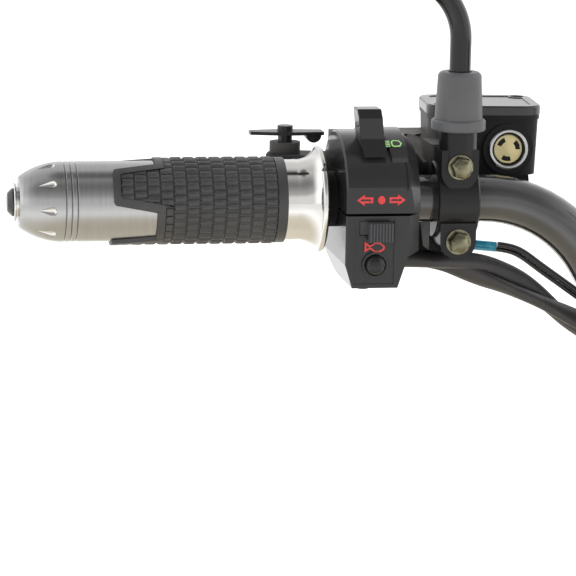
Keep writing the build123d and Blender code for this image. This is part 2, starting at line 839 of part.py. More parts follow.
def switch_connectors():
    """Insulated spade terminal on the switch's inner end, drooping a little."""
    droop = Vector(1, 0, -math.tan(math.radians(terminal_droop)))
    start = Vector(switch_end_u, switch_y, switch_z)
    waist = start + droop * terminal_wide
    body = rod(start - droop, waist, terminal_r) + rod(waist, start + droop * terminal_length, terminal_crimp_r)
    reach = terminal_length + 10
    return body & block((switch_end_u, 0, switch_z - reach), (switch_end_u + reach, 60, switch_z + reach))


def leaned(angle, length):
    """Step of that length in the (u, z) plane, leaned outwards from upright."""
    return Vector(-math.sin(math.radians(angle)), 0, math.cos(math.radians(angle))) * length


def mirror_stem():
    """Bent stem with its lock nut at the foot and the mirror's ball on top."""
    foot = Vector(clamp_u, boss_y, mirror_stud_z)
    first = Vector(clamp_u, boss_y, stem_corner_z)
    second = first + leaned(stem_lean, stem_run)
    top = second + leaned(stem_top_lean, stem_top_run)
    path = FilletPolyline(foot, first, second, top, radius=stem_bend_r)
    body = sweep(Plane(origin=path @ 0, z_dir=path % 0) * Circle(stem_r - thread_gap), path=path)
    body += Pos(*top) * Sphere(ball_r)
    nut_z = boss_top_z + run_gap
    hexagon = RegularPolygon(nut_across / 2, 6, major_radius=False)
    return body + upright(Pos(clamp_u, boss_y) * hexagon, nut_z, nut_z + nut_height), top


def mirror_boot():
    """Rubber boot over the lock nut, with a flange at its foot and a rounded lip."""
    base = boss_top_z + run_gap
    top = base + boot_height
    inner = nut_across / math.sqrt(3) + 0.4
    bore = stem_r + run_gap
    outline = (
        Polyline(
            (bore, top),
            (bore, base + nut_height + 4),
            (inner, base + nut_height + 1),
            (inner, base),
            (boot_flange_r - 0.6, base),
            (boot_flange_r, base + 0.6),
            (boot_flange_r, base + boot_flange - 0.6),
            (boot_flange_r - 0.6, base + boot_flange),
            (boot_r, base + boot_flange),
            (boot_top_r, top - 3),
        )
        + ThreePointArc((boot_top_r, top - 3), (boot_top_r - 0.5, top - 1), (boot_lip_r, top))
        + Line((boot_lip_r, top), (bore, top))
    )
    return Pos(clamp_u, boss_y) * revolve(Plane.XZ * make_face(outline), axis=Axis.Z)


def mirror_head(ball):
    """Hollow shell behind the glass, with the socket of the stem's ball at its lower back."""
    centre = ball + Vector(-4, -9, 30)
    front_y = centre.Y - head_depth / 2
    back_y = centre.Y + head_depth / 2

    def outline(margin):
        return Pos(centre.X, centre.Z) * RectangleRounded(
            head_width - 2 * margin, head_height - 2 * margin, head_corner_r - margin
        )

    shell = facing(outline(0), front_y, back_y)
    shell = fillet(shell.faces().sort_by(Axis.Y)[-1].edges(), head_back_r)
    room = facing(outline(2 * head_wall), front_y, back_y - head_wall)
    shell -= fillet(room.faces().sort_by(Axis.Y)[-1].edges(), head_back_r - head_wall)
    shell -= facing(outline(head_wall), front_y - 1, front_y + head_lip)
    socket_r = ball_r + socket_wall
    socket = Pos(*ball) * Sphere(socket_r)
    keep_low = (ball.X - socket_r, front_y + head_lip, ball.Z - 4)
    shell += socket & block(keep_low, (ball.X + socket_r, back_y + socket_r, ball.Z + socket_r))
    shell -= Pos(*ball) * Sphere(ball_r + run_gap)
    swing = math.tan(math.radians(mirror_tilt)) * 14
    slot = SlotCenterToCenter(2 * swing, 2 * stem_r + 4, rotation=90)
    shell -= upright(Pos(ball.X + 1, ball.Y) * slot, ball.Z - 40, ball.Z - 2)
    glass_y = front_y + head_lip - glass_thickness
    glass = facing(outline(head_wall + 0.2), glass_y, glass_y + glass_thickness)
    return shell, glass


def lead(points, radius):
    """Round lead through hand-set points: straight runs joined by the largest arcs that fit."""
    route = [Vector(*p) for p in points]
    runs = [b - a for a, b in zip(route, route[1:])]
    radii = []
    for before, after in zip(runs, runs[1:]):
        turn = math.radians(before.get_angle(after))
        radii.append(0.45 * min(before.length, after.length) / math.tan(turn / 2))
    path = FilletPolyline(*route, radius=radii)
    solid = sweep(Plane(origin=path @ 0, z_dir=path % 0) * Circle(radius), path=path)
    ratio = solid.volume / (math.pi * radius**2 * path.length)
    print(f"lead: length {path.length:.0f}, least arc {min(radii):.0f}, volume ratio {ratio:.4f}")
    return solid


# Routes of the left leads in the row frame, from the switch pod to the bar's lower bend
harness_routes = [
    [
        (-209.0, -17.0, 69.7), (-189.5, -13.6, 68.7), (-171.5, -3.6, 67.6), (-153.5, 2.0, 59.0),
        (-138.0, 6.9, 47.0), (-124.5, 10.6, 33.8), (-106.5, 13.9, 22.6), (-92.0, 15.8, 13.6),
        (-74.9, 15.1, 6.5), (-67.1, 15.5, 2.1),
    ],
    [
        (-210.35, -9.1, 69.7), (-190.9, -5.7, 68.7), (-172.5, -4.4, 60.0), (-156.5, -4.0, 54.4),
        (-138.0, -1.1, 46.6), (-121.5, 4.4, 37.9), (-103.5, 11.8, 29.0), (-88.0, 14.1, 20.5),
        (-71.1, 13.1, 13.0), (-63.3, 13.5, 8.6),
    ],
]
switch_route = [
    (-161.45, 18.32, 70.08), (-155.5, 19.37, 69.4), (-149.0, 19.9, 66.9), (-140.1, 19.0, 60.4),
    (-130.1, 17.0, 53.8), (-119.3, 15.2, 46.5), (-107.0, 13.8, 38.4), (-93.5, 12.6, 31.0),
    (-81.5, 10.8, 24.4), (-69.3, 8.6, 17.8), (-58.0, 9.2, 15.2),
]
tie_centre = Vector(-74.3, -0.6, 6.5)
tie_normal = Vector(0.868, 0.044, -0.494)


def harness():
    return Compound(children=[lead(route, sleeve_lead_r) for route in harness_routes])


def cable_tie():
    """Band round the bar and the three leads at the lower bend."""
    plane = Plane(origin=tie_centre, x_dir=(-0.05, 1, 0), z_dir=tie_normal)
    held = [(route, sleeve_lead_r) for route in harness_routes] + [(switch_route, switch_lead_r)]
    edges = Circle(bar_r).edges()
    for route, radius in held:
        local = plane.to_local_coords(Vector(*route[-2]))
        edges += (Pos(local.X, local.Y) * Circle(radius + tie_margin)).edges()
    hull = make_hull(edges)
    band = offset(hull, tie_slack + tie_thickness) - offset(hull, tie_slack)
    loop = extrude(plane * band, tie_width / 2, both=True)
    head_x = -bar_r - tie_slack - tie_thickness
    head = Pos(head_x - 1.4, 0, 0) * Box(3.6, 6, 6)
    return loop + plane.location * head


def end_connectors():
    """Multi-pin housing on the two harness sleeves and a small one on the switch lead."""
    ends = [Vector(*route[-1]) for route in harness_routes]
    middle = (ends[0] + ends[1]) * 0.5 + Vector(0, 2.6, 0)
    plane = Plane(origin=middle, x_dir=ends[1] - ends[0], z_dir=tie_normal)
    housing = plane.location * (Pos(0, 0, 11) * Box(17, 9, 22))
    last, end = Vector(*switch_route[-2]), Vector(*switch_route[-1])
    small = rod(end, end + (end - last).normalized() * 14, terminal_r)
    return Compound(children=[housing, small])


def placed(shape, side, local=True):
    shape = shape.moved(grip_frame) if local else shape
    return shape if side == "left" else mirror(shape, about=Plane.YZ)


def write(shape, node):
    export_step(shape, f"parts/{node}.step")


os.makedirs("parts", exist_ok=True)
write(bar_tube(), "handlebar")

stem, stem_ball = mirror_stem()
shell, glass = mirror_head(stem_ball)

# node suffix, shape, whether it is drawn in the grip frame
both_sides = [
    ("grip_core", grip_core(), True),
    ("grip_sleeve", grip_sleeve(), True),
    ("grip_collar", grip_collar(), True),
    ("neck_ring", neck_ring(), True),
    ("end_bolt", end_bolt(), True),
    ("pod_upper", pod_upper(), True),
    ("pod_lower", pod_lower(), True),
    ("top_key", top_key(), True),
    ("face_slide", face_slide(), True),
    ("push_button", push_button(), True),
    ("clamp_cap", clamp_cap(), True),
    ("clamp_bolts", clamp_bolts(), True),
    ("perch", perch(), True),
    ("reservoir_cap", reservoir_cap(), True),
    ("sight_glass", sight_glass(), True),
    ("brake_lever", brake_lever(), True),
    ("brake_switch", brake_switch(), True),
    ("switch_connector", switch_connectors(), True),
    ("mirror_stem", stem, True),
    ("mirror_boot", mirror_boot(), True),
    ("mirror_shell", shell, True),
    ("mirror_glass", glass, True),
    ("harness", harness(), False),
    ("switch_lead", lead(switch_route, switch_lead_r), False),
    ("cable_tie", cable_tie(), False),
    ("end_connectors", end_connectors(), False),
]
for side in ("left", "right"):
    for suffix, shape, local in both_sides:
        write(placed(shape, side, local), f"{side}_{suffix}")
    write(placed(pivot_bolt(side == "left"), side), f"{side}_pivot_bolt")
write(placed(parking_latch(), "left"), "left_parking_latch")
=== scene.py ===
"""Looks of a handlebar assembly: the finishes of its parts and the small pieces on them."""

import json
import math

import bmesh
import bpy
from bpy.props import FloatProperty, FloatVectorProperty, IntProperty, PointerProperty
from mathutils import Matrix, Vector

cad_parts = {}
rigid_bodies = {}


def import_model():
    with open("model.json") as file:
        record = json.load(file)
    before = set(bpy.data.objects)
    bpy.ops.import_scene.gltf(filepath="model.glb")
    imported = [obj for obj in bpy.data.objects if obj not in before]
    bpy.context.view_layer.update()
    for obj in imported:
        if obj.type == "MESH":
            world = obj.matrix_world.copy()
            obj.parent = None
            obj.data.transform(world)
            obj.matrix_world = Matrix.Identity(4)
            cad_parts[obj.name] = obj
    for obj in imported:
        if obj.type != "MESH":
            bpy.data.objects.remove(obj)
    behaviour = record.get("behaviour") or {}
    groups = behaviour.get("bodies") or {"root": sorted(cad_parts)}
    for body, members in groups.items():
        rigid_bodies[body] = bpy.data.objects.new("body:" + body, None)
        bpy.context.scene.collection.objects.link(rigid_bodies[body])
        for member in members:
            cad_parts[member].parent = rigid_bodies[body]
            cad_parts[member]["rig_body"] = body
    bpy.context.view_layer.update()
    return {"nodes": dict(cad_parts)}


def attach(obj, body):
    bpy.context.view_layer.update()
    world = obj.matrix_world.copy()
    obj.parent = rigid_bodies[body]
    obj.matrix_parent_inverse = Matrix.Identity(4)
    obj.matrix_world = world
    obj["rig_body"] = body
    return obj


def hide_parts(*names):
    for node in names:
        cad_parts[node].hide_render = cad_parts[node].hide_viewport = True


bl_info = {
    "name": "Handlebar Looks",
    "version": (1, 0, 0),
    "blender": (4, 5, 0),
    "location": "3D View > Sidebar > Handlebar",
    "description": "Finishes and small pieces of a handlebar's grips, pods, levers and mirrors",
    "category": "Object",
}

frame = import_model()

SIDES = ("left", "right")
MM = 0.001

# The left grip frame of the bar: u inwards along the grip, y forwards, z up
SWEEP = math.radians(10.0)
GRIP_ORIGIN = Vector((-0.382705, -0.052177, 0.099))
GRIP_PLACE = Matrix.Translation(GRIP_ORIGIN) @ Matrix.Rotation(SWEEP, 4, "Z") @ Matrix.Scale(MM, 4)
MIRRORED = Matrix.Scale(-1, 4, (1, 0, 0))

RIDER = Vector((0, -1, 0))

POD_FACE_Y = -30.4
POD_R = 32.0
PAD_RISE = 1.3
CLAMP_U = 200.5
BOLT_SEAT_Y = -16.5


# Sizes and colours that a user can change


def length(name, description, default):
    return FloatProperty(
        name=name, description=description, default=default * MM, min=0.0, unit="LENGTH", precision=5
    )


def count(name, description, default):
    return IntProperty(name=name, description=description, default=default, min=4)


def number(name, description, default):
    return FloatProperty(name=name, description=description, default=default, min=0.0)


def colour(name, description, default):
    return FloatVectorProperty(
        name=name, description=description, default=default, size=3, min=0.0, max=1.0, subtype="COLOR"
    )


class GripLook(bpy.types.PropertyGroup):
    """Rubber and metal of the grips."""

    bricks_round: count("Bricks Round", "Bricks in one ring of the rubber", 30)
    brick_rings: count("Brick Rings", "Rings of bricks along the grip", 12)
    brick_height: length("Brick Height", "How far a brick stands above the groove", 1.1)
    groove: length("Groove", "Width of the groove between two bricks", 0.4)
    rubber: colour("Rubber", "Colour of the grip rubber", (0.031, 0.030, 0.0305))
    metal: colour("Metal", "Colour of the turned metal", (0.40, 0.40, 0.40))


class PodLook(bpy.types.PropertyGroup):
    """Plastic and marks of the switch pods."""

    plastic: colour("Plastic", "Colour of the pod shells", (0.017, 0.017, 0.0175))
    mark: colour("Mark", "Colour of the arrow and horn marks", (0.42, 0.012, 0.012))
    lamp_mark: colour("Lamp Mark", "Colour of the lamp mark", (0.20, 0.40, 0.12))
    mark_height: length("Mark Height", "Height of an arrow", 5.2)


class ClampLook(bpy.types.PropertyGroup):
    """Castings, bolts and the sight glass."""

    casting: colour("Casting", "Colour of the painted castings", (0.009, 0.009, 0.0095))
    bolt: colour("Bolt", "Colour of the plated bolts", (0.17, 0.16, 0.105))
    window: colour("Window", "Colour of the disc in the sight glass", (0.55, 0.47, 0.24))


class LeadLook(bpy.types.PropertyGroup):
    """Sleeves, leads and terminals."""

    sleeve_radius: length("Sleeve Radius", "Radius of a harness sleeve", 3.7)
    sleeve_press: number("Sleeve Press", "How flat a sleeve is pressed", 0.26)
    sleeve_turns: number("Sleeve Turns", "Turns that a sleeve makes along its run", 0.8)
    strand_radius: length("Strand Radius", "Radius of the thicker strand of the twin lead", 1.5)
    strand_step: length("Strand Step", "Distance between the two strands", 2.6)
    sleeve: colour("Sleeve", "Colour of the harness sleeves", (0.030, 0.028, 0.028))
    terminal: colour("Terminal", "Colour of the terminal cover", (0.03, 0.30, 0.45))


class StageLook(bpy.types.PropertyGroup):
    """Floor, light and camera."""

    floor: colour("Floor", "Colour of the floor near the handlebar", (0.71, 0.65, 0.53))
    floor_drop: length("Floor Drop", "Depth of the floor below the bar", 550.0)
    lens: number("Lens", "Focal length of the camera in millimetres", 187.5)


# Shader maths


class Wire:
    """A node's output that Python's operators carry on from."""

    def __init__(self, nodes, socket):
        self.nodes = nodes
        self.socket = socket

    def math(self, operation, *others):
        inputs = {f"i{n}": value for n, value in enumerate((self, *others))}
        return self.nodes.node("Math", {"operation": operation}, **inputs)

    def __add__(self, other):
        return self.math("ADD", other)

    def __sub__(self, other):
        return self.math("SUBTRACT", other)

    def __rsub__(self, other):
        return self.nodes.node("Math", {"operation": "SUBTRACT"}, i0=other, i1=self)

    def __mul__(self, other):
        return self.math("MULTIPLY", other)

    def __pow__(self, other):
        return self.math("POWER", other)

    __radd__ = __add__
    __rmul__ = __mul__

    def between(self, low, high):
        """0 below low and 1 above high, with a soft step."""
        settings = {"interpolation_type": "SMOOTHSTEP"}
        return self.nodes.node("MapRange", settings, i0=self, i1=low, i2=high, i3=0.0, i4=1.0)


class Nodes:
    """A node tree, with short ways to add and link its nodes."""

    def __init__(self, tree):
        self.tree = tree

    def feed(self, socket, value):
        if isinstance(value, Wire):
            self.tree.links.new(value.socket, socket)
        elif socket.type == "RGBA":
            socket.default_value = (*value[:3], 1.0)
        else:
            socket.default_value = value

    def node(self, kind, settings=None, output=0, **inputs):
        """Any node: its settings come first, then its sockets by name, or by number as i0, i1."""
        made = self.tree.nodes.new("ShaderNode" + kind)
        for name, value in (settings or {}).items():
            setattr(made, name, value)
        for name, value in inputs.items():
            numbered = name[0] == "i" and name[1:].isdigit()
            key = int(name[1:]) if numbered else name.replace("_", " ")
            self.feed(made.inputs[key], value)
        return Wire(self, made.outputs[output])

    def split(self, vector):
        """The three parts of a vector."""
        parts = self.node("SeparateXYZ", i0=vector).socket.node.outputs
        return [Wire(self, each) for each in parts]

    def place(self, scale=(1, 1, 1), turn=(0, 0, 0)):
        """Object coordinates, scaled and turned."""
        at = self.node("TexCoord", output=3)
        return self.node("Mapping", i0=at, i2=turn, i3=scale)

    def noise(self, scale, detail=3.0, roughness=0.55):
        return self.node("TexNoise", i0=self.place(), Scale=scale, Detail=detail, Roughness=roughness)

    def streaks(self, stretch, scale, detail=2.0):
        """Noise that is stretched in the grip frame."""
        at = self.place(scale=stretch, turn=(0, 0, -SWEEP))
        return self.node("TexNoise", i0=at, Scale=scale, Detail=detail)

    def mix(self, factor, first, second):
        return self.node("Mix", {"data_type": "RGBA"}, output=2, i0=factor, i6=first, i7=second)

    def bump(self, height, distance, strength, **normal):
        return self.node("Bump", Height=height, Distance=distance, Strength=strength, **normal)


class Finish(Nodes):
    """A material on the principled shader, with the nodes that vary it."""

    def __init__(self, name, **values):
        self.material = bpy.data.materials.new(name)
        self.material.use_nodes = True
        super().__init__(self.material.node_tree)
        self.shader = self.tree.nodes["Principled BSDF"]
        self.set(**values)

    def set(self, **values):
        """Sets or links the shader's sockets, named with underscores for spaces."""
        for name, value in values.items():
            self.feed(self.shader.inputs[name.replace("_", " ")], value)
        return self

    def tint(self, factor, first, second):
        return self.set(Base_Color=self.mix(factor, first, second))


def shade(tint, factor):
    return tuple(min(1.0, c * factor) for c in tint)


class Finishes:
    """The finishes of this handlebar, made once and kept by name."""

    def __init__(self):
        self.kept = {}

    def __call__(self, name):
        if name not in self.kept:
            self.kept[name] = getattr(self, name)().material
        return self.kept[name]

    def bar_paint(self):
        made = Finish("bar_paint", Roughness=0.16, Coat_Weight=1.0, Coat_Roughness=0.04)
        mottle = made.noise(30.0, 3.0).between(0.35, 0.7)
        peel = made.noise(260.0, 2.0)
        made.tint(mottle, (0.012, 0.012, 0.013), (0.022, 0.021, 0.021))
        return made.set(Normal=made.bump(peel, 0.0002, 0.15))

    def grip_metal(self):
        """Turned aluminium, its fine lines running round the barrel."""
        look = bpy.context.scene.grip_look
        made = Finish("grip_metal", Metallic=1.0)
        lines = made.streaks((1, 0.02, 0.02), 2600.0)
        smears = made.streaks((0.3, 1, 1), 90.0, 3.0)
        made.tint(lines, shade(look.metal, 0.80), shade(look.metal, 1.08))
        made.set(Roughness=0.15 + smears * 0.08 + lines * 0.08)
        return made.set(Normal=made.bump(lines, 0.00003, 0.5))

    def polished_metal(self):
        made = Finish("polished_metal", Metallic=1.0)
        smears = made.noise(60.0, 4.0)
        lines = made.streaks((1, 0.03, 0.03), 1500.0)
        made.tint(smears, (0.56, 0.55, 0.53), (0.68, 0.67, 0.65))
        return made.set(Roughness=0.06 + smears * 0.06, Normal=made.bump(lines, 0.00001, 0.3))

    def grip_rubber(self):
        """Dark rubber with a fine grain and duller patches."""
        look = bpy.context.scene.grip_look
        made = Finish("grip_rubber", Specular_IOR_Level=0.5)
        patches = made.noise(45.0, 4.0).between(0.3, 0.75)
        grain = made.noise(2400.0, 3.0)
        made.tint(patches, shade(look.rubber, 0.85), shade(look.rubber, 1.25))
        made.set(Roughness=0.34 + grain * 0.16)
        return made.set(Normal=made.bump(grain, 0.00008, 0.35))

    def matte_black(self):
        made = Finish("matte_black", Specular_IOR_Level=0.25)
        grain = made.noise(900.0, 3.0)
        made.tint(grain, (0.004, 0.004, 0.004), (0.010, 0.010, 0.010))
        return made.set(Roughness=0.62 + grain * 0.2)

    def dark_steel(self):
        made = Finish("dark_steel", Metallic=0.85)
        grain = made.noise(320.0, 4.0)
        made.tint(grain, (0.030, 0.030, 0.032), (0.075, 0.073, 0.072))
        return made.set(Roughness=0.22 + grain * 0.2, Normal=made.bump(grain, 0.00005, 0.2))

    def moulded(self, name, tint, rough, gloss=0.0, grain_scale=1500.0, grain_strength=0.25):
        """Moulded plastic: an even tint, a fine spark-eroded grain and slight flow patches."""
        made = Finish(name, Specular_IOR_Level=0.2, Coat_Weight=gloss, Coat_Roughness=0.08, Coat_IOR=1.3)
        flow = made.noise(22.0, 2.0)
        grain = made.noise(grain_scale, 3.0)
        made.tint(flow, shade(tint, 0.86), shade(tint, 1.16))
        made.set(Roughness=(rough - 0.04) + grain * 0.08)
        return made.set(Normal=made.bump(grain, 0.00006, grain_strength))

    def pod_plastic(self):
        return self.moulded("pod_plastic", bpy.context.scene.pod_look.plastic, 0.32, 0.85)

    def key_plastic(self):
        return self.moulded("key_plastic", (0.013, 0.013, 0.014), 0.24, 0.5)

    def knob_grey(self):
        return self.moulded("knob_grey", (0.055, 0.056, 0.060), 0.42)

    def sight_glass(self):
        return self.moulded("sight_glass", bpy.context.scene.clamp_look.window, 0.32, 0.6, 300.0, 0.1)

    def connector_black(self):
        return self.moulded("connector_black", (0.015, 0.015, 0.016), 0.40)

    def mirror_plastic(self):
        return self.moulded("mirror_plastic", (0.018, 0.018, 0.019), 0.45, 0.0, 1100.0, 0.5)

    def cast(self, name, tint, rough, scale=700.0, gloss=0.0, spec=0.2):
        """Painted casting: a pebbled surface with small pits."""
        made = Finish(name, Specular_IOR_Level=spec, Coat_Weight=gloss, Coat_Roughness=0.1, Coat_IOR=1.3)
        pebble = made.noise(scale, 4.0, 0.6)
        patches = made.noise(35.0, 3.0)
        made.paint = made.mix(patches, shade(tint, 0.8), shade(tint, 1.25))
        made.set(Base_Color=made.paint, Roughness=rough + patches * 0.08)
        return made.set(Normal=made.bump(pebble, 0.00012, 0.35))

    def cast_black(self):
        return self.cast("cast_black", bpy.context.scene.clamp_look.casting, 0.30, gloss=0.3)

    def cast_dull(self):
        """Casting that is painted greyer where its arm comes up between the pod and the clamp, a painted
        reflection.
        """
        made = self.cast("cast_dull", bpy.context.scene.clamp_look.casting, 0.46, spec=0.12)
        x, _, z = made.split(made.place())
        # Painted reflection: the arm between the pod and the clamp gets a lighter grey in place of the
        # casting's black.
        painted_arm_reflection = x.math("ABSOLUTE").between(0.184, 0.196) * z.between(0.108, 0.120)
        return made.tint(painted_arm_reflection, made.paint, (0.075, 0.072, 0.070))

    def cap_black(self):
        return self.cast("cap_black", (0.014, 0.0135, 0.013), 0.26, 500.0, gloss=0.6, spec=0.4)

    def stem_paint(self):
        made = Finish("stem_paint", Specular_IOR_Level=0.2, Roughness=0.12)
        made.set(Coat_Weight=0.8, Coat_Roughness=0.04, Coat_IOR=1.3)
        mottle = made.noise(40.0, 2.0)
        made.tint(mottle, (0.006, 0.0055, 0.0055), (0.011, 0.0105, 0.0105))
        return made.set(Normal=made.bump(made.noise(300.0, 2.0), 0.0001, 0.12))

    def boot_rubber(self):
        made = Finish("boot_rubber", Specular_IOR_Level=0.35)
        patches = made.noise(50.0, 4.0)
        grain = made.noise(1800.0, 2.0)
        made.tint(patches, (0.062, 0.063, 0.066), (0.095, 0.096, 0.100))
        return made.set(Roughness=0.36 + grain * 0.12, Normal=made.bump(grain, 0.00005, 0.3))

    def yellow_zinc(self):
        look = bpy.context.scene.clamp_look
        made = Finish("yellow_zinc", Metallic=0.9)
        stain = made.noise(420.0, 4.0)
        tarnish = made.noise(140.0, 3.0).between(0.4, 0.7)
        made.tint(tarnish, shade(look.bolt, 1.25), shade(look.bolt, 0.62))
        return made.set(Roughness=0.14 + stain * 0.2, Normal=made.bump(stain, 0.00004, 0.3))

    def lever_metal(self):
        made = Finish("lever_metal", Metallic=0.35, Coat_Weight=0.2, Coat_Roughness=0.15)
        grain = made.noise(600.0, 3.0)
        made.tint(grain, (0.018, 0.018, 0.018), (0.034, 0.034, 0.034))
        return made.set(Roughness=0.30 + grain * 0.12, Normal=made.bump(grain, 0.00006, 0.25))

    def connector_blue(self):
        look = bpy.context.scene.lead_look
        made = Finish("connector_blue", Transmission_Weight=0.25, Roughness=0.22)
        made.set(Coat_Weight=0.4, Coat_Roughness=0.1)
        patches = made.noise(240.0, 3.0).between(0.35, 0.75)
        made.tint(patches, look.terminal, shade(look.terminal, 1.7))
        return made.set(Normal=made.bump(patches, 0.0002, 0.2))

    def mirror_glass(self):
        made = Finish("mirror_glass", Metallic=1.0)
        smear = made.noise(25.0, 3.0).between(0.45, 0.8)
        made.tint(smear, (0.80, 0.83, 0.85), (0.74, 0.77, 0.79))
        return made.set(Roughness=0.02 + smear * 0.05)

    def lead_sleeve(self):
        """Soft tube, slightly wrinkled along its run."""
        look = bpy.context.scene.lead_look
        made = Finish("lead_sleeve", Specular_IOR_Level=0.4)
        folds = made.noise(110.0, 2.0)
        grain = made.noise(1300.0, 2.0)
        made.tint(folds, shade(look.sleeve, 0.8), shade(look.sleeve, 1.3))
        made.set(Roughness=0.36 + grain * 0.10)
        fine = made.bump(grain, 0.00004, 0.2)
        return made.set(Normal=made.bump(folds, 0.0012, 0.4, Normal=fine))

    def lead_gloss(self):
        made = Finish("lead_gloss", Roughness=0.2, Coat_Weight=0.5, Coat_Roughness=0.08)
        folds = made.noise(160.0, 2.0)
        made.tint(folds, (0.006, 0.006, 0.007), (0.014, 0.014, 0.015))
        return made.set(Normal=made.bump(folds, 0.0004, 0.25))

    def painted_mark(self, name, tint):
        """Translucent paint in a moulded mark, uneven at its edge."""
        made = Finish(name, Coat_Weight=0.3, Coat_Roughness=0.1)
        blotch = made.noise(900.0, 3.0).between(0.3, 0.7)
        made.set(Base_Color=made.mix(blotch, tint, shade(tint, 1.5)), Roughness=0.3 + blotch * 0.1)
        return made

    def red_mark(self):
        return self.painted_mark("red_mark", bpy.context.scene.pod_look.mark)

    def green_mark(self):
        return self.painted_mark("green_mark", bpy.context.scene.pod_look.lamp_mark)

    def floor_pale(self):
        """Pale floor, warm under the handlebar, paler further off, where it also glows white with painted
        light though it is no lamp.
        """
        look = bpy.context.scene.stage_look
        made = Finish("floor_pale", Roughness=0.7, Emission_Strength=1.0)
        x, y, _ = made.split(made.place())
        away = (x * x + y * y) ** 0.5
        # Further off the floor turns paler and glows by its own emission: painted light that makes it
        # show white.
        paler_and_glowing_far = away.between(0.5, 1.4) * 0.97 + made.noise(1.5, 2.0) * 0.03
        made.tint(paler_and_glowing_far, look.floor, (0.9, 0.9, 0.9))
        return made.set(Emission_Color=made.mix(paler_and_glowing_far, (0.0, 0.0, 0.0), (0.5, 0.5, 0.5)))


finish = Finishes()


# Making and seating pieces


def place_on(side, drawn=GRIP_PLACE):
    return drawn if side == "left" else MIRRORED @ drawn


def body_of(node):
    return frame["nodes"][node]["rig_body"]


def mesh_of(bm, name):
    """The mesh of a finished drawing."""
    mesh = bpy.data.meshes.new(name)
    bm.to_mesh(mesh)
    bm.free()
    return mesh


def stand(data, name):
    """A new object in the scene that shows a mesh, curve, light or camera."""
    made = bpy.data.objects.new(name, data)
    bpy.context.scene.collection.objects.link(made)
    return made


def seat(mesh, name, body, finishes, replaced=(), angle=35.0):
    """Makes a mesh an object that rides on a body, with its finishes."""
    mesh.name = name
    for polygon in mesh.polygons:
        polygon.use_smooth = True
    mesh.set_sharp_from_angle(angle=math.radians(angle))
    made = stand(mesh, name)
    for each in finishes:
        mesh.materials.append(finish(each))
    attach(made, body)
    if replaced:
        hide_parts(*replaced)


def on_both(build, suffix, slot, finishes=(), instead=False, angle=35.0, drawn=GRIP_PLACE):
    """Seats on the left what build() draws in the grip frame, and its mirror image on the right.

    The piece is named after build and rides with the CAD piece, or stands instead of it.
    """
    for side in SIDES:
        bm = build()
        bm.transform(place_on(side, drawn))
        if side == "right":
            bmesh.ops.reverse_faces(bm, faces=bm.faces)
        name = f"{side}_{build.__name__}"
        node = f"{side}_{suffix}"
        replaced = [node] if instead else []
        seat(mesh_of(bm, name), name, body_of(node), finishes or [slot], replaced, angle)


def reshaped(suffix, name, move, slot):
    """Stands a copy of a CAD piece in its place, with its points moved by move() in the grip frame."""
    bpy.context.view_layer.update()
    for side in SIDES:
        node = f"{side}_{suffix}"
        part = frame["nodes"][node]
        mesh = part.data.copy()
        mesh.materials.clear()
        inwards = place_on(side).inverted() @ part.matrix_world
        for v in mesh.vertices:
            v.co = place_on(side) @ move(inwards @ v.co)
        seat(mesh, f"{side}_{name}", body_of(node), [slot], [node])


def dress(slot, *names):
    """Gives CAD nodes the finish of their slot."""
    for name in names:
        part = frame["nodes"][name]
        part.data.materials.clear()
        part.data.materials.append(finish(slot))


def dress_both(slot, *suffixes):
    dress(slot, *(f"{side}_{suffix}" for side in SIDES for suffix in suffixes))


def only(kind, parts):
    return [part for part in parts if isinstance(part, kind)]


def face_towards(bm, points, way):
    """A face through the points that looks the given way."""
    face = bm.faces.new([bm.verts.new(point) for point in points])
    face.normal_update()
    if face.normal.dot(way) < 0:
        face.normal_flip()
    return face


def flat_shape(bm, points, y, rise, inset=0.0):
    """A raised mark that looks to the rider; its inset part gets the second finish."""
    face = face_towards(bm, [(u, y, z) for u, z in points], RIDER)
    top = bmesh.ops.extrude_face_region(bm, geom=[face])["geom"]
    bmesh.ops.translate(bm, verts=only(bmesh.types.BMVert, top), vec=rise * RIDER)
    if inset:
        front = only(bmesh.types.BMFace, top)
        bmesh.ops.inset_individual(bm, faces=front, thickness=inset, use_even_offset=True)
        for each in front:
            each.material_index = 1


def spun(points, steps, axis=(0, 1, 0)):
    """A shape turned about an axis from points drawn beside it."""
    bm = bmesh.new()
    verts = [bm.verts.new(p) for p in points]
    edges = [bm.edges.new(pair) for pair in zip(verts, verts[1:])]
    bmesh.ops.spin(
        bm, geom=verts + edges, cent=(0, 0, 0), axis=axis, dvec=(0, 0, 0), angle=2 * math.pi, steps=steps,
        use_merge=True,
    )
    bmesh.ops.remove_doubles(bm, verts=bm.verts, dist=0.0005)
    bmesh.ops.recalc_face_normals(bm, faces=bm.faces)
    return bm


# Rubber of the grips

BRICKS_U = (44.7, 116.4)
BRICK_BED_R = 18.87
BRICK_GIRTH = 2 * math.pi * BRICK_BED_R
TONGUE_ANGLES = (59.7, 179.7, 299.7)
WINDOW_END_U = 64.8
TONGUE_IN = ((44.7, 5.95), (64.8, 9.4))
# The bricks are drawn longer by this much while they are raised, so their ends are the steep ones
BRICK_STRETCH = 1.5
# How far in each step of a brick lies, and its share of the brick's height
BRICK_STEPS = ((0.30, 0.36), (0.40, 0.30), (0.45, 0.20), (0.45, 0.14))
# A brick with this share of the whole area counts as uncut, and one below this area is left out
WHOLE_SHARE = 0.97
SLIVER_AREA = 3.0


def tongue_half(u):
    (u0, h0), (u1, h1) = TONGUE_IN
    return h0 + (h1 - h0) * (u - u0) / (u1 - u0)


def tongue_offset(s):
    """How far round the barrel a place is from the nearest tongue's middle line."""
    half = BRICK_GIRTH / 2
    middles = [angle / 360 * BRICK_GIRTH for angle in TONGUE_ANGLES]
    return min(abs((s - middle + half) % BRICK_GIRTH - half) for middle in middles)


def in_window(c):
    return c.x < WINDOW_END_U and tongue_offset(c.y) > tongue_half(c.x)


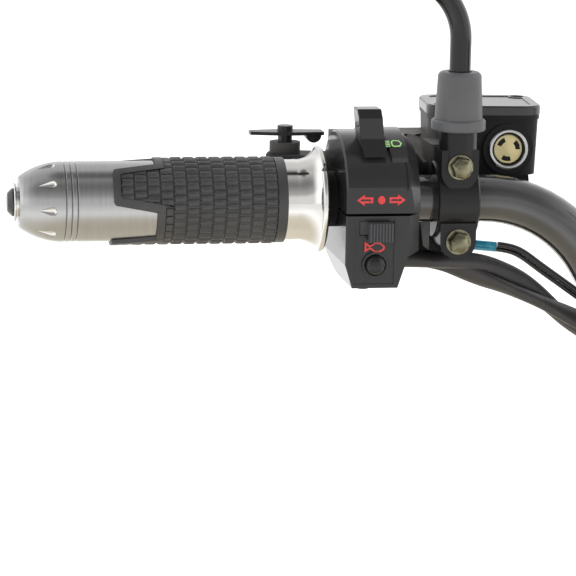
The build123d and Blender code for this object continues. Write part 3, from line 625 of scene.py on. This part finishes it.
def flat_bricks(rings, bricks_round):
    """Rings of bricks laid flat, every second ring half a brick further round."""
    start, end = BRICKS_U
    ring_length = (end - start) / rings
    half_brick = BRICK_GIRTH / (2 * bricks_round)
    bm = bmesh.new()
    bmesh.ops.create_grid(bm, x_segments=rings, y_segments=2 * bricks_round, size=1.0)
    for v in bm.verts:
        v.co = (start + (v.co.x + 1) / 2 * (end - start), (v.co.y + 1) / 2 * BRICK_GIRTH, 0)
    joined = []
    for e in bm.edges:
        a, b = (v.co for v in e.verts)
        if abs(a.y - b.y) < 1e-4 and not e.is_boundary:
            ring = round(((a.x + b.x) / 2 - start) / ring_length - 0.5)
            if (ring + round(a.y / half_brick)) % 2:
                joined.append(e)
    bmesh.ops.dissolve_edges(bm, edges=joined, use_verts=False)
    return bm


def cut_to_tongues(bm, ring_length):
    """Cuts the bricks along the tongues' edges and clears the windows between them."""

    def cut(co, normal, chosen):
        faces = [f for f in bm.faces if chosen(f.calc_center_median())]
        geom = list({*faces, *(e for f in faces for e in f.edges), *(v for f in faces for v in f.verts)})
        bmesh.ops.bisect_plane(bm, geom=geom, plane_co=co, plane_no=normal, dist=1e-5)

    def by_tongue(c):
        return c.x < WINDOW_END_U + ring_length and abs(c.y - middle) < BRICK_GIRTH / 6

    (u0, h0), (u1, h1) = TONGUE_IN
    for angle in TONGUE_ANGLES:
        middle = angle / 360 * BRICK_GIRTH
        for way in (-1, 1):
            edge = Vector((u1 - u0, way * (h1 - h0), 0))
            cut((u0, middle + way * h0, 0), (-edge.y, edge.x, 0), by_tongue)
    cut((WINDOW_END_U, 0, 0), (1, 0, 0), lambda c: tongue_offset(c.y) > tongue_half(c.x))
    gone = [f for f in bm.faces if in_window(f.calc_center_median()) or f.calc_area() < SLIVER_AREA]
    bmesh.ops.delete(bm, geom=gone, context="FACES")


def raise_bricks(bm, whole_area):
    """Raises each brick in steps to a pillow; a cut one takes smaller steps, so they stay inside it."""
    look = bpy.context.scene.grip_look
    height = look.brick_height / MM
    steps = ((look.groove / MM / 2, 0.0), *BRICK_STEPS)
    reach = sum(thick for thick, rise in steps)
    for v in bm.verts:
        v.co.x *= BRICK_STRETCH
    for face in bm.faces[:]:
        area = face.calc_area()
        whole = area > WHOLE_SHARE * whole_area * BRICK_STRETCH
        part = 1.0 if whole else min(1.0, 0.8 * area / face.calc_perimeter() / reach)
        for thick, rise in steps:
            depth = rise * height * math.sqrt(part)
            bmesh.ops.inset_individual(
                bm, faces=[face], thickness=thick * part, depth=depth, use_even_offset=whole
            )
    for v in bm.verts:
        v.co.x /= BRICK_STRETCH


def grip_bricks():
    """Rings of bricks, laid flat, cut to the tongues, raised as pillows and rolled round the grip."""
    look = bpy.context.scene.grip_look
    ring_length = (BRICKS_U[1] - BRICKS_U[0]) / look.brick_rings
    bm = flat_bricks(look.brick_rings, look.bricks_round)
    cut_to_tongues(bm, ring_length)
    raise_bricks(bm, ring_length * BRICK_GIRTH / look.bricks_round)
    for v in bm.verts:
        turn = 2 * math.pi * v.co.y / BRICK_GIRTH
        r = BRICK_BED_R + v.co.z
        v.co = (v.co.x, -r * math.sin(turn), r * math.cos(turn))
    bmesh.ops.remove_doubles(bm, verts=bm.verts, dist=0.01)
    bmesh.ops.reverse_faces(bm, faces=bm.faces)
    return bm


# Metal of the grips

CAP_ARC = ((0.6, 12.0), (7.0, 15.6), (18.4, 18.3))
CAP_INNER_R = 13.5
BARREL_R = 18.3
# The tube under the rubber, its bore and the bolt's hole
CORE_REST = (
    (61.2, BARREL_R), (61.2, 16.2), (120.8, 16.2), (120.8, 11.35),
    (3.6, 11.35), (3.6, 3.2), (0, 3.2), (0, 11.4),
)
GROOVES_U = (20.3, 22.9, 25.5)
GROOVE_HALF = 0.4
GROOVE_DEPTH = 0.4
SCOOPS = 9
SCOOP_FIRST = 55.0
SCOOP_U = (8.0, 14.0)
SCOOP_R = 2.35
SCOOP_LIFT = 0.95
SCOOP_SKIN = 0.3


def arc_through(first, middle, last, total):
    """Points on the circle through three points."""
    (ax, ay), (bx, by), (cx, cy) = first, middle, last
    d = 2 * (ax * (by - cy) + bx * (cy - ay) + cx * (ay - by))
    sa, sb, sc = ax * ax + ay * ay, bx * bx + by * by, cx * cx + cy * cy
    x = (sa * (by - cy) + sb * (cy - ay) + sc * (ay - by)) / d
    y = (sa * (cx - bx) + sb * (ax - cx) + sc * (bx - ax)) / d
    centre = Vector((x, y))
    start, end = (Vector(p) - centre for p in (first, last))
    turn = end.angle_signed(start)
    return [centre + Matrix.Rotation(turn * n / (total - 1), 2) @ start for n in range(total)]


def cap_radius(u):
    points = arc_through(*CAP_ARC, 40)
    return min(points, key=lambda p: abs(p.x - u)).y


def turn_points(bm, verts, matrix):
    bmesh.ops.rotate(bm, verts=verts, cent=(0, 0, 0), matrix=matrix)


def scoop_cutter():
    """Teardrops, a cone that ends in a ball, laid round the cap with their points outwards."""
    tip = Vector((SCOOP_U[0], 0, cap_radius(SCOOP_U[0]) + 0.05))
    ball = Vector((SCOOP_U[1], 0, cap_radius(SCOOP_U[1]) + SCOOP_LIFT))
    run = (ball - tip).length
    touch = math.acos(SCOOP_R / run)
    profile = [(0.0, 0.0)]
    for n in range(9):
        a = math.pi - touch - (math.pi - touch) * n / 8
        profile.append((run + SCOOP_R * math.cos(a), SCOOP_R * math.sin(a)))
    drop = spun([(u, 0, r) for u, r in profile], 32, axis=(1, 0, 0))
    turn_points(drop, drop.verts, Vector((1, 0, 0)).rotation_difference(ball - tip).to_matrix())
    bmesh.ops.translate(drop, verts=drop.verts, vec=tip)
    kept = drop.verts[:] + drop.edges[:] + drop.faces[:]
    for n in range(1, SCOOPS):
        copy = only(bmesh.types.BMVert, bmesh.ops.duplicate(drop, geom=kept)["geom"])
        turn_points(drop, copy, Matrix.Rotation(2 * math.pi * n / SCOOPS, 3, "X"))
    turn_points(drop, drop.verts, Matrix.Rotation(math.radians(SCOOP_FIRST), 3, "X"))
    return drop


def turned_core():
    """Cap, barrel and tube in one turned piece, with the scoops cut in and polished."""
    profile = [tuple(p) for p in arc_through(*CAP_ARC, 14)]
    low_r = BARREL_R - GROOVE_DEPTH
    for u in GROOVES_U:
        profile += [(u - GROOVE_HALF, BARREL_R), (u, low_r), (u + GROOVE_HALF, BARREL_R)]
    profile += CORE_REST
    profile.append(profile[0])
    blank = spun([(u, 0, r) for u, r in profile], 144, axis=(1, 0, 0))
    solid = stand(mesh_of(blank, "core_blank"), "core_blank")
    cutter = stand(mesh_of(scoop_cutter(), "scoop_cutter"), "scoop_cutter")
    cut = solid.modifiers.new("scoops", "BOOLEAN")
    cut.operation = "DIFFERENCE"
    cut.solver = "EXACT"
    cut.object = cutter
    bm = bmesh.new()
    bm.from_object(solid, bpy.context.evaluated_depsgraph_get())
    for each in (solid, cutter):
        mesh = each.data
        bpy.data.objects.remove(each)
        bpy.data.meshes.remove(mesh)
    for face in bm.faces:
        middle = face.calc_center_median()
        r = math.hypot(middle.y, middle.z)
        along = SCOOP_U[0] < middle.x < SCOOP_U[1] + 3
        face.material_index = int(along and CAP_INNER_R < r < cap_radius(middle.x) - SCOOP_SKIN)
    return bm


PLUG_HEAD = ((-5.0, 0), (-5.0, 3.9), (-4.8, 4.4), (-2.9, 6.3), (-2.3, 6.4))
PLUG_WASHER = ((-2.3, 8.6), (-2.0, 8.9), (-1.4, 8.9), (-1.2, 8.6), (-1.2, 6.8), (0.1, 6.8))
# The washer is what lies further in and further out than this
WASHER_FROM = (-2.35, 6.5)


def end_plug():
    """Tapered bolt head on a bright washer, standing off the cap's end."""
    bm = spun([(u, 0, r) for u, r in PLUG_HEAD + PLUG_WASHER], 64, axis=(1, 0, 0))
    from_u, from_r = WASHER_FROM
    for face in bm.faces:
        middle = face.calc_center_median()
        face.material_index = int(middle.x > from_u and math.hypot(middle.y, middle.z) > from_r)
    return bm


# Marks and small parts of the pods


def arrow_points(tip_u, tail_u, z, height):
    """A block arrow that points from its tail to its tip."""
    way = 1 if tip_u > tail_u else -1
    neck = tip_u - way * 0.48 * abs(tip_u - tail_u)
    half, shaft = height / 2, height * 0.26
    return [
        (tip_u, z),
        (neck, z + half),
        (neck, z + shaft),
        (tail_u, z + shaft),
        (tail_u, z - shaft),
        (neck, z - shaft),
        (neck, z - half),
    ]


MARK_RISE = 0.18
ARROWS_U = ((150.0, 157.4), (172.3, 164.9))
ARROWS_Z = 4.4
DOT_U = 161.3
HORN = (
    (153.9, -19.4), (153.9, -14.6), (156.3, -16.2), (157.0, -16.0), (158.6, -14.9),
    (161.2, -14.9), (163.0, -16.4), (163.4, -17.2), (163.0, -18.4), (161.0, -19.6),
    (158.4, -19.6), (156.9, -18.2), (156.3, -18.0),
)


def pod_marks():
    """Two arrows with a dot between them, and a horn above its button."""
    bm = bmesh.new()
    height = bpy.context.scene.pod_look.mark_height / MM
    face_y = POD_FACE_Y + 0.02
    for tip, tail in ARROWS_U:
        flat_shape(bm, arrow_points(tip, tail, ARROWS_Z, height), face_y, MARK_RISE, 0.92)
    around = [math.radians(15 * n) for n in range(24)]
    dot = [(DOT_U + 1.7 * math.cos(a), ARROWS_Z + 1.9 * math.sin(a)) for a in around]
    flat_shape(bm, dot, face_y, 0.25)
    flat_shape(bm, HORN, face_y, MARK_RISE, 0.8)
    return bm


LAMP_U = 168.0
LAMP_ANGLE = 32.0
LAMP_SCALE = 1.12
LAMP = (
    (3.2, -1.9), (0.6, -2.1), (-0.2, -1.4), (-0.4, 0), (-0.2, 1.4), (0.6, 2.1), (3.2, 1.9), (4.2, 0),
)
BEAM = ((-0.9, -0.42), (-3.0, -0.62), (-3.0, 0.08), (-0.9, 0.28))
BEAMS_AT = (-1.5, -0.5, 0.5, 1.5)


def lamp_mark():
    """A lamp with its beam on the pad, drawn flat and bent to the pod's round top."""
    bm = bmesh.new()
    radius = POD_R + PAD_RISE + 0.02

    def drawn(points, inset=0.0):
        flat_shape(bm, [(LAMP_U + LAMP_SCALE * u, LAMP_SCALE * s) for u, s in points], 0, 0.12, inset)

    drawn(LAMP, 0.65)
    for at in BEAMS_AT:
        drawn([(u, at + s) for u, s in BEAM])
    for v in bm.verts:
        turn = math.radians(LAMP_ANGLE) - v.co.z / radius
        r = radius - v.co.y
        v.co = (v.co.x, -r * math.sin(turn), r * math.cos(turn))
    bmesh.ops.recalc_face_normals(bm, faces=bm.faces)
    return bm


# The middle line of the thumb key's solid leaves this place and leans out 1 in 6
KEY_START_U = 161.1
KEY_START_Z = 20.5
KEY_SLOPE = 6
KEY_WIDTH = 0.93
KEY_SHIFT = -1.7
KEY_LEAN = 0.05
KEY_BEND_Z = 31.0
KEY_LOW = 0.752


def key_point(p):
    """The thumb key is narrower than its solid, stands further out and ends higher up."""
    up = p.z - KEY_START_Z
    middle = KEY_START_U - up / KEY_SLOPE
    shift = KEY_SHIFT + up * KEY_LEAN
    z = p.z if p.z > KEY_BEND_Z else KEY_BEND_Z - (KEY_BEND_Z - p.z) * KEY_LOW
    return Vector((middle + (p.x - middle) * KEY_WIDTH + shift, p.y, z))


BOOT_FOOT_Z = 38.4
BOOT_SQUASH = 0.90
BOOT_WIDEN = 0.0016
BOSS_Y = -10.0


def boot_point(p):
    """The boot above its flange is a little shorter and wider than its solid."""
    above = max(0.0, p.z - BOOT_FOOT_Z)
    wide = 1 + above * BOOT_WIDEN
    axis = Vector((CLAMP_U, BOSS_Y, 0))
    out = (p - axis) * wide + axis
    return Vector((out.x, out.y, p.z - above * (1 - BOOT_SQUASH)))


BUTTON = Vector((159.0, POD_FACE_Y, -25.3))
BUTTON_HALF = (
    (0, -4.3), (1.5, -4.2), (2.8, -3.8), (3.8, -3.1), (4.4, -2.2), (4.55, -1.2), (4.55, 2.5), (0, 2.5),
)


def turned_at(place, half, steps):
    """A shape turned about a line along y from its (r, y) half."""
    bm = spun([(r, y, 0) for r, y in half], steps)
    bmesh.ops.translate(bm, verts=bm.verts, vec=place)
    return bm


def domed_button():
    return turned_at(BUTTON, BUTTON_HALF, 48)


# Bolts, sight glass and cap screws

BOLTS_Z = (17.0, -17.6)
BOLT_TURN = math.radians(18.0)
# Low radius, high radius, rise and sides of a head's flange and of its hexagon
HEAD_SHAPES = ((5.9, 5.9, 0.9, 48), (5.5, 5.15, 3.8, 6))
# How far in each step of the dome lies, and how much it rises
DOME_STEPS = ((0.35, 0.45), (0.9, 0.75), (1.3, 0.6), (1.0, 0.2))


def bolt_heads():
    """Hexagon heads with a round flange and a domed top, seen from the rider's side."""
    bm = bmesh.new()
    for z in BOLTS_Z:
        before = set(bm.verts)
        depth = 0.0
        for low_r, high_r, rise, sides in HEAD_SHAPES:
            made = bmesh.ops.create_cone(
                bm, cap_ends=True, segments=sides, radius1=low_r, radius2=high_r, depth=rise
            )["verts"]
            bmesh.ops.translate(bm, verts=made, vec=(0, 0, depth + rise / 2))
            depth += rise
        ends = [f for f in bm.faces if len(f.verts) == 6 and before.isdisjoint(f.verts)]
        top = max(ends, key=lambda f: f.calc_center_median().z)
        for thick, rise in DOME_STEPS:
            bmesh.ops.inset_individual(bm, faces=[top], thickness=thick, depth=rise, use_even_offset=True)
        new = [v for v in bm.verts if v not in before]
        turn_points(bm, new, Matrix.Rotation(BOLT_TURN, 3, "Z"))
        turn_points(bm, new, Matrix.Rotation(math.radians(90), 3, "X"))
        bmesh.ops.translate(bm, verts=new, vec=(CLAMP_U, BOLT_SEAT_Y - 0.02, z))
    sharp = [e for e in bm.edges if e.is_manifold and e.calc_face_angle(0) > 0.5]
    bmesh.ops.bevel(bm, geom=sharp, offset=0.25, segments=3, profile=0.5, affect="EDGES", material=-1)
    return bm


SIGHT = Vector((230.8, 16.4, 20.4))
RING_HALF = ((9.3, 0.6), (9.5, -1.5), (9.25, -1.95), (8.9, -2.1), (8.0, -2.0), (7.7, -1.7), (7.5, 0.6))
DISC_HALF = ((0, -0.9), (2.0, -0.9), (2.6, -0.6), (6.6, -0.6), (6.9, -0.3), (6.9, 0.4))
SLOT_ANGLES = (67, 190, 315)


def sight_ring():
    """Polished bezel of the window."""
    return turned_at(SIGHT, RING_HALF, 64)


def sight_disc():
    """Disc behind the window, with three kidney slots round a raised middle; the slots are flat matte
    black faces on the disc, painted shade.
    """
    bm = turned_at(SIGHT, DISC_HALF, 64)
    for angle in SLOT_ANGLES:
        outline = []
        for r, turns in ((5.7, range(-25, 26, 5)), (3.5, range(25, -26, -5))):
            for turn in turns:
                a = math.radians(angle + turn)
                outline.append(SIGHT + Vector((r * math.sin(a), -0.64, r * math.cos(a))))
        # Each slot is a flat matte black face laid on the disc, not a cut opening: painted shade.
        face_towards(bm, outline, RIDER).material_index = 1
    return bm


CAP_MIDDLE = Vector((221.3, 37.2, 39.75))
CAP_TURN = math.radians(-4.5)
SCREW_AT = Vector((20.6, 15.2, 0))
SLOT_HALF = (0.4, 1.7)


def cap_screws():
    """Flat heads with a cross slot, sunk in the two places of the reservoir's cap; the slot is a flat
    matte black face on the head, painted shade.
    """
    bm = bmesh.new()
    near, far = SLOT_HALF
    quarter = [(near, near), (near, far), (-near, far)]
    turns = ((1, 0), (0, 1), (-1, 0), (0, -1))
    cross = [(x * c - y * s, x * s + y * c, 0.47) for c, s in turns for x, y in quarter]
    for way in (-1, 1):
        made = bmesh.ops.create_cone(
            bm, cap_ends=True, segments=32, radius1=2.9, radius2=3.0, depth=0.9
        )["verts"]
        # The cross slot is not cut: a flat matte black face on the head stands for the shade in it,
        # painted shade.
        slot = face_towards(bm, cross, Vector((0, 0, 1)))
        slot.material_index = 1
        at = CAP_MIDDLE + Matrix.Rotation(CAP_TURN, 3, "Z") @ (way * SCREW_AT)
        bmesh.ops.translate(bm, verts=[*made, *slot.verts], vec=at)
    return bm


# Leads, in the row frame in metres, left side

HARNESS = (
    (
        (-0.2090, -0.0170, 0.0697), (-0.1895, -0.0136, 0.0687), (-0.1715, -0.0036, 0.0676),
        (-0.1535, 0.0020, 0.0590), (-0.1380, 0.0069, 0.0470), (-0.1245, 0.0106, 0.0338),
        (-0.1065, 0.0139, 0.0226), (-0.0920, 0.0158, 0.0136), (-0.0749, 0.0151, 0.0065),
        (-0.0671, 0.0155, 0.0021),
    ),
    (
        (-0.21035, -0.0091, 0.0697), (-0.1909, -0.0057, 0.0687), (-0.1725, -0.0044, 0.0600),
        (-0.1565, -0.0040, 0.0544), (-0.1380, -0.0011, 0.0466), (-0.1215, 0.0044, 0.0379),
        (-0.1035, 0.0118, 0.0290), (-0.0880, 0.0141, 0.0205), (-0.0711, 0.0131, 0.0130),
        (-0.0633, 0.0135, 0.0086),
    ),
)
SWITCH_LEAD = (
    (-0.16145, 0.01832, 0.07008), (-0.1555, 0.01937, 0.0694), (-0.1490, 0.0199, 0.0669),
    (-0.1401, 0.0190, 0.0604), (-0.1301, 0.0170, 0.0538), (-0.1193, 0.0152, 0.0465),
    (-0.1070, 0.0138, 0.0384), (-0.0935, 0.0126, 0.0310), (-0.0815, 0.0108, 0.0244),
    (-0.0693, 0.0086, 0.0178), (-0.0580, 0.0092, 0.0152),
)
STRAND_WAY = Vector((0.55, 0, 0.83))
STRANDS = ((1, 1.0), (-1, 0.74))
SLEEVE_SIDES = 24
# Shares of its run in which a sleeve goes flat and gets round again
SLEEVE_EASE = (0.12, 0.3)


def smooth_line(route):
    """A spline with the route's points as its control points."""
    curve = bpy.data.curves.new("line", "CURVE")
    curve.dimensions = "3D"
    spline = curve.splines.new("NURBS")
    lay_spline(spline, route)
    line = bpy.data.objects.new("line", curve)
    mesh = bpy.data.meshes.new_from_object(line)
    points = [v.co.copy() for v in mesh.vertices]
    bpy.data.objects.remove(line)
    bpy.data.curves.remove(curve)
    bpy.data.meshes.remove(mesh)
    return points


def lay_spline(spline, route, width=1.0):
    spline.points.add(len(route) - 1)
    for point, at in zip(spline.points, route):
        point.co = (*at, 1)
        point.radius = width
    spline.order_u = 3
    spline.use_endpoint_u = True
    spline.resolution_u = 8


def frames_along(points):
    """Each point of a line with two directions across it."""
    last = len(points) - 1
    side = Vector((0, 1, 0))
    frames = []
    for n, point in enumerate(points):
        along = (points[min(n + 1, last)] - points[max(n - 1, 0)]).normalized()
        side = (side - side.dot(along) * along).normalized()
        frames.append((point, side, along.cross(side)))
    return frames


def harness_sleeves():
    """Two soft sleeves, pressed flat and twisted along their lines."""
    look = bpy.context.scene.lead_look
    radius, press, turns = look.sleeve_radius, look.sleeve_press, look.sleeve_turns
    ease_in, ease_out = SLEEVE_EASE
    bm = bmesh.new()
    for which, route in enumerate(HARNESS):
        frames = frames_along(smooth_line(route))
        last = len(frames) - 1
        known = set(bm.verts)
        bmesh.ops.create_grid(bm, x_segments=last, y_segments=SLEEVE_SIDES, size=1.0)
        made = [v for v in bm.verts if v not in known]
        for v in made:
            n = round((v.co.x + 1) / 2 * last)
            share = n / last
            turn = (v.co.y + 1) * math.pi
            flat = press * min(1.0, share / ease_in) * min(1.0, (1 - share) / ease_out)
            ripple = 1 + 0.05 * math.sin(share * 23 + which * 2)
            wide = radius * (1 + flat) * ripple * math.cos(turn)
            thin = radius * (1 - 0.8 * flat) * math.sin(turn)
            twist = 2 * math.pi * turns * share + which * 1.3
            point, first, second = frames[n]
            across = math.cos(twist) * first + math.sin(twist) * second
            upward = math.cos(twist) * second - math.sin(twist) * first
            v.co = point + wide * across + thin * upward
        bmesh.ops.remove_doubles(bm, verts=made, dist=0.00002)
    bmesh.ops.holes_fill(bm, edges=[e for e in bm.edges if e.is_boundary], sides=0)
    bmesh.ops.recalc_face_normals(bm, faces=bm.faces)
    return bm


def twin_lead(side):
    """Two round strands side by side, the upper one thicker."""
    look = bpy.context.scene.lead_look
    curve = bpy.data.curves.new(f"{side}_twin_lead", "CURVE")
    curve.dimensions = "3D"
    curve.bevel_depth = look.strand_radius
    curve.bevel_resolution = 5
    curve.use_fill_caps = True
    step = STRAND_WAY * look.strand_step / 2
    for way, width in STRANDS:
        route = [Vector(point) + way * step for point in SWITCH_LEAD]
        if side == "right":
            route = [MIRRORED @ point for point in route]
        lay_spline(curve.splines.new("NURBS"), route, width)
    made = stand(curve, f"{side}_twin_lead")
    curve.materials.append(finish("lead_gloss"))
    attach(made, "bar")
    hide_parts(f"{side}_switch_lead")


# Floor, light and camera

# Name, place, width, height and watts of each light
LIGHTS = (
    ("top_light", (-0.3, 0.5, 1.6), 1.8, 0.7, 24.0),
    ("front_light", (-1.1, -1.7, 0.9), 1.0, 0.7, 10.0),
    ("side_light", (1.3, -0.9, 1.0), 0.6, 1.0, 8.0),
)
LIGHTS_AIM = Vector((-0.22, 0.0, 0.10))
CAMERA_AT = (-0.26004, -1.38963, 0.32183)
# The camera's right, up and back
CAMERA_AXES = (
    (0.9998157, 0.0036630, 0.0188447),
    (-0.0191974, 0.1907738, 0.9814463),
    (0.0, -0.9816272, 0.1908090),
)


def white_room():
    """White walls, bright at eye height and at both sides, with a dark gap overhead."""
    world = bpy.data.worlds.new("white_room")
    world.use_nodes = True
    room = Nodes(world.node_tree)
    x, y, z = room.split(room.node("TexCoord", output=0))
    front = (y * -1.0).between(0.0, 0.6) * z.between(0.22, 0.42)
    overhead = z.between(0.35, 0.8)
    gap = z.between(0.955, 0.99)
    sides = x.math("ABSOLUTE").between(0.55, 0.95)
    behind = y.between(0.15, 0.5) * z.between(0.2, 0.45)
    backdrop = room.tree.nodes["Background"]
    backdrop.inputs["Color"].default_value = (1.0, 1.0, 1.0, 1.0)
    level = 1.04 - front * 0.45 - overhead * 0.3 - gap * 0.5 + sides * 0.8 + behind * 0.2
    room.feed(backdrop.inputs["Strength"], level.math("MAXIMUM", 0.06))
    return world


# Operators, one for each group of pieces


class HANDLEBAR_OT_bar(bpy.types.Operator):
    """Paint the bar"""

    bl_idname = "handlebar.bar"
    bl_label = "Bar"

    def execute(self, context):
        dress("bar_paint", "handlebar")
        return {"FINISHED"}


class HANDLEBAR_OT_grips(bpy.types.Operator):
    """Dress the grips' metal and raise the bricks on their rubber"""

    bl_idname = "handlebar.grips"
    bl_label = "Grips"

    def execute(self, context):
        core_metals = ["grip_metal", "polished_metal"]
        on_both(turned_core, "grip_core", "grip_metal", core_metals, instead=True, angle=28)
        dress_both("polished_metal", "grip_collar")
        dress_both("grip_rubber", "grip_sleeve")
        dress_both("matte_black", "neck_ring")
        on_both(end_plug, "end_bolt", "dark_steel", ["dark_steel", "polished_metal"], instead=True)
        on_both(grip_bricks, "grip_sleeve", "grip_rubber", angle=60)
        return {"FINISHED"}


class HANDLEBAR_OT_pods(bpy.types.Operator):
    """Dress the switch pods and add their marks"""

    bl_idname = "handlebar.pods"
    bl_label = "Switch Pods"

    def execute(self, context):
        dress_both("pod_plastic", "pod_upper", "pod_lower")
        reshaped("top_key", "thumb_key", key_point, "key_plastic")
        on_both(domed_button, "push_button", "key_plastic", instead=True)
        dress_both("knob_grey", "face_slide")
        on_both(pod_marks, "pod_upper", "pod_plastic", ["red_mark", "pod_plastic"])
        on_both(lamp_mark, "pod_upper", "pod_plastic", ["green_mark", "pod_plastic"])
        return {"FINISHED"}


class HANDLEBAR_OT_clamps(bpy.types.Operator):
    """Dress the clamps and add their bolts' heads"""

    bl_idname = "handlebar.clamps"
    bl_label = "Clamps"

    def execute(self, context):
        dress_both("cast_black", "clamp_cap")
        on_both(bolt_heads, "clamp_bolts", "yellow_zinc", instead=True, angle=25)
        return {"FINISHED"}


class HANDLEBAR_OT_cylinders(bpy.types.Operator):
    """Dress the master cylinders and their sight glasses"""

    bl_idname = "handlebar.cylinders"
    bl_label = "Master Cylinders"

    def execute(self, context):
        dress_both("cast_dull", "perch")
        dress_both("cap_black", "reservoir_cap")
        dress_both("connector_black", "brake_switch")
        on_both(cap_screws, "reservoir_cap", "dark_steel", ["dark_steel", "matte_black"])
        on_both(sight_ring, "perch", "grip_metal", angle=50)
        on_both(sight_disc, "sight_glass", "sight_glass", ["sight_glass", "matte_black"], instead=True)
        return {"FINISHED"}


class HANDLEBAR_OT_levers(bpy.types.Operator):
    """Dress the brake levers, their pivots and the parking latch"""

    bl_idname = "handlebar.levers"
    bl_label = "Brake Levers"

    def execute(self, context):
        dress_both("lever_metal", "brake_lever")
        dress_both("dark_steel", "pivot_bolt")
        dress("dark_steel", "left_parking_latch")
        return {"FINISHED"}


class HANDLEBAR_OT_mirrors(bpy.types.Operator):
    """Dress the mirrors, their stems and boots"""

    bl_idname = "handlebar.mirrors"
    bl_label = "Mirrors"

    def execute(self, context):
        dress_both("stem_paint", "mirror_stem")
        reshaped("mirror_boot", "soft_boot", boot_point, "boot_rubber")
        dress_both("mirror_plastic", "mirror_shell")
        dress_both("mirror_glass", "mirror_glass")
        return {"FINISHED"}


class HANDLEBAR_OT_leads(bpy.types.Operator):
    """Lay the harness sleeves and the twin switch lead"""

    bl_idname = "handlebar.leads"
    bl_label = "Leads"

    def execute(self, context):
        row = Matrix.Identity(4)
        on_both(harness_sleeves, "harness", "lead_sleeve", instead=True, angle=60, drawn=row)
        for side in SIDES:
            twin_lead(side)
        dress_both("connector_blue", "switch_connector")
        dress_both("connector_black", "end_connectors", "cable_tie")
        return {"FINISHED"}


class HANDLEBAR_OT_stage(bpy.types.Operator):
    """Set the floor, the soft lights and the camera"""

    bl_idname = "handlebar.stage"
    bl_label = "Stage"

    def execute(self, context):
        look = context.scene.stage_look
        bm = bmesh.new()
        bmesh.ops.create_grid(bm, x_segments=2, y_segments=2, size=9.0)
        bmesh.ops.translate(bm, verts=bm.verts, vec=(0, 0, -look.floor_drop))
        floor = stand(mesh_of(bm, "floor"), "floor")
        floor.data.materials.append(finish("floor_pale"))

        context.scene.world = white_room()
        for name, spot, width, height, watts in LIGHTS:
            lamp = bpy.data.lights.new(name, "AREA")
            lamp.shape = "RECTANGLE"
            lamp.size, lamp.size_y, lamp.energy = width, height, watts
            made = stand(lamp, name)
            made.location = spot
            made.visible_camera = False
            made.visible_glossy = False
            made.rotation_mode = "QUATERNION"
            made.rotation_quaternion = (LIGHTS_AIM - Vector(spot)).to_track_quat("-Z", "Y")

        camera = bpy.data.cameras.new("camera")
        camera.lens = look.lens
        camera.sensor_width = 36.0
        camera.clip_end = 50.0
        made = stand(camera, "camera")
        made.matrix_world = Matrix.Translation(CAMERA_AT) @ Matrix(CAMERA_AXES).transposed().to_4x4()
        context.scene.camera = made
        context.scene.view_settings.view_transform = "Standard"
        return {"FINISHED"}


class HANDLEBAR_PT_pieces(bpy.types.Panel):
    """Lists the pieces of the handlebar"""

    bl_idname = "HANDLEBAR_PT_pieces"
    bl_label = "Handlebar"
    bl_space_type = "VIEW_3D"
    bl_region_type = "UI"
    bl_category = "Handlebar"

    def draw(self, context):
        for group in LOOKS:
            box = self.layout.box()
            for name in LOOKS[group].__annotations__:
                box.prop(getattr(context.scene, group), name)
        for step in STEPS:
            self.layout.operator(step.bl_idname)


LOOKS = {
    "grip_look": GripLook,
    "pod_look": PodLook,
    "clamp_look": ClampLook,
    "lead_look": LeadLook,
    "stage_look": StageLook,
}
STEPS = (
    HANDLEBAR_OT_bar,
    HANDLEBAR_OT_grips,
    HANDLEBAR_OT_pods,
    HANDLEBAR_OT_clamps,
    HANDLEBAR_OT_cylinders,
    HANDLEBAR_OT_levers,
    HANDLEBAR_OT_mirrors,
    HANDLEBAR_OT_leads,
    HANDLEBAR_OT_stage,
)


def register():
    for name, look in LOOKS.items():
        bpy.utils.register_class(look)
        setattr(bpy.types.Scene, name, PointerProperty(type=look))
    for each in (*STEPS, HANDLEBAR_PT_pieces):
        bpy.utils.register_class(each)


def unregister():
    for each in (HANDLEBAR_PT_pieces, *reversed(STEPS)):
        bpy.utils.unregister_class(each)
    for name, look in reversed(LOOKS.items()):
        delattr(bpy.types.Scene, name)
        bpy.utils.unregister_class(look)


def main():
    register()
    for step in STEPS:
        group, name = step.bl_idname.split(".")
        getattr(getattr(bpy.ops, group), name)()


if __name__ == "__main__":
    main()
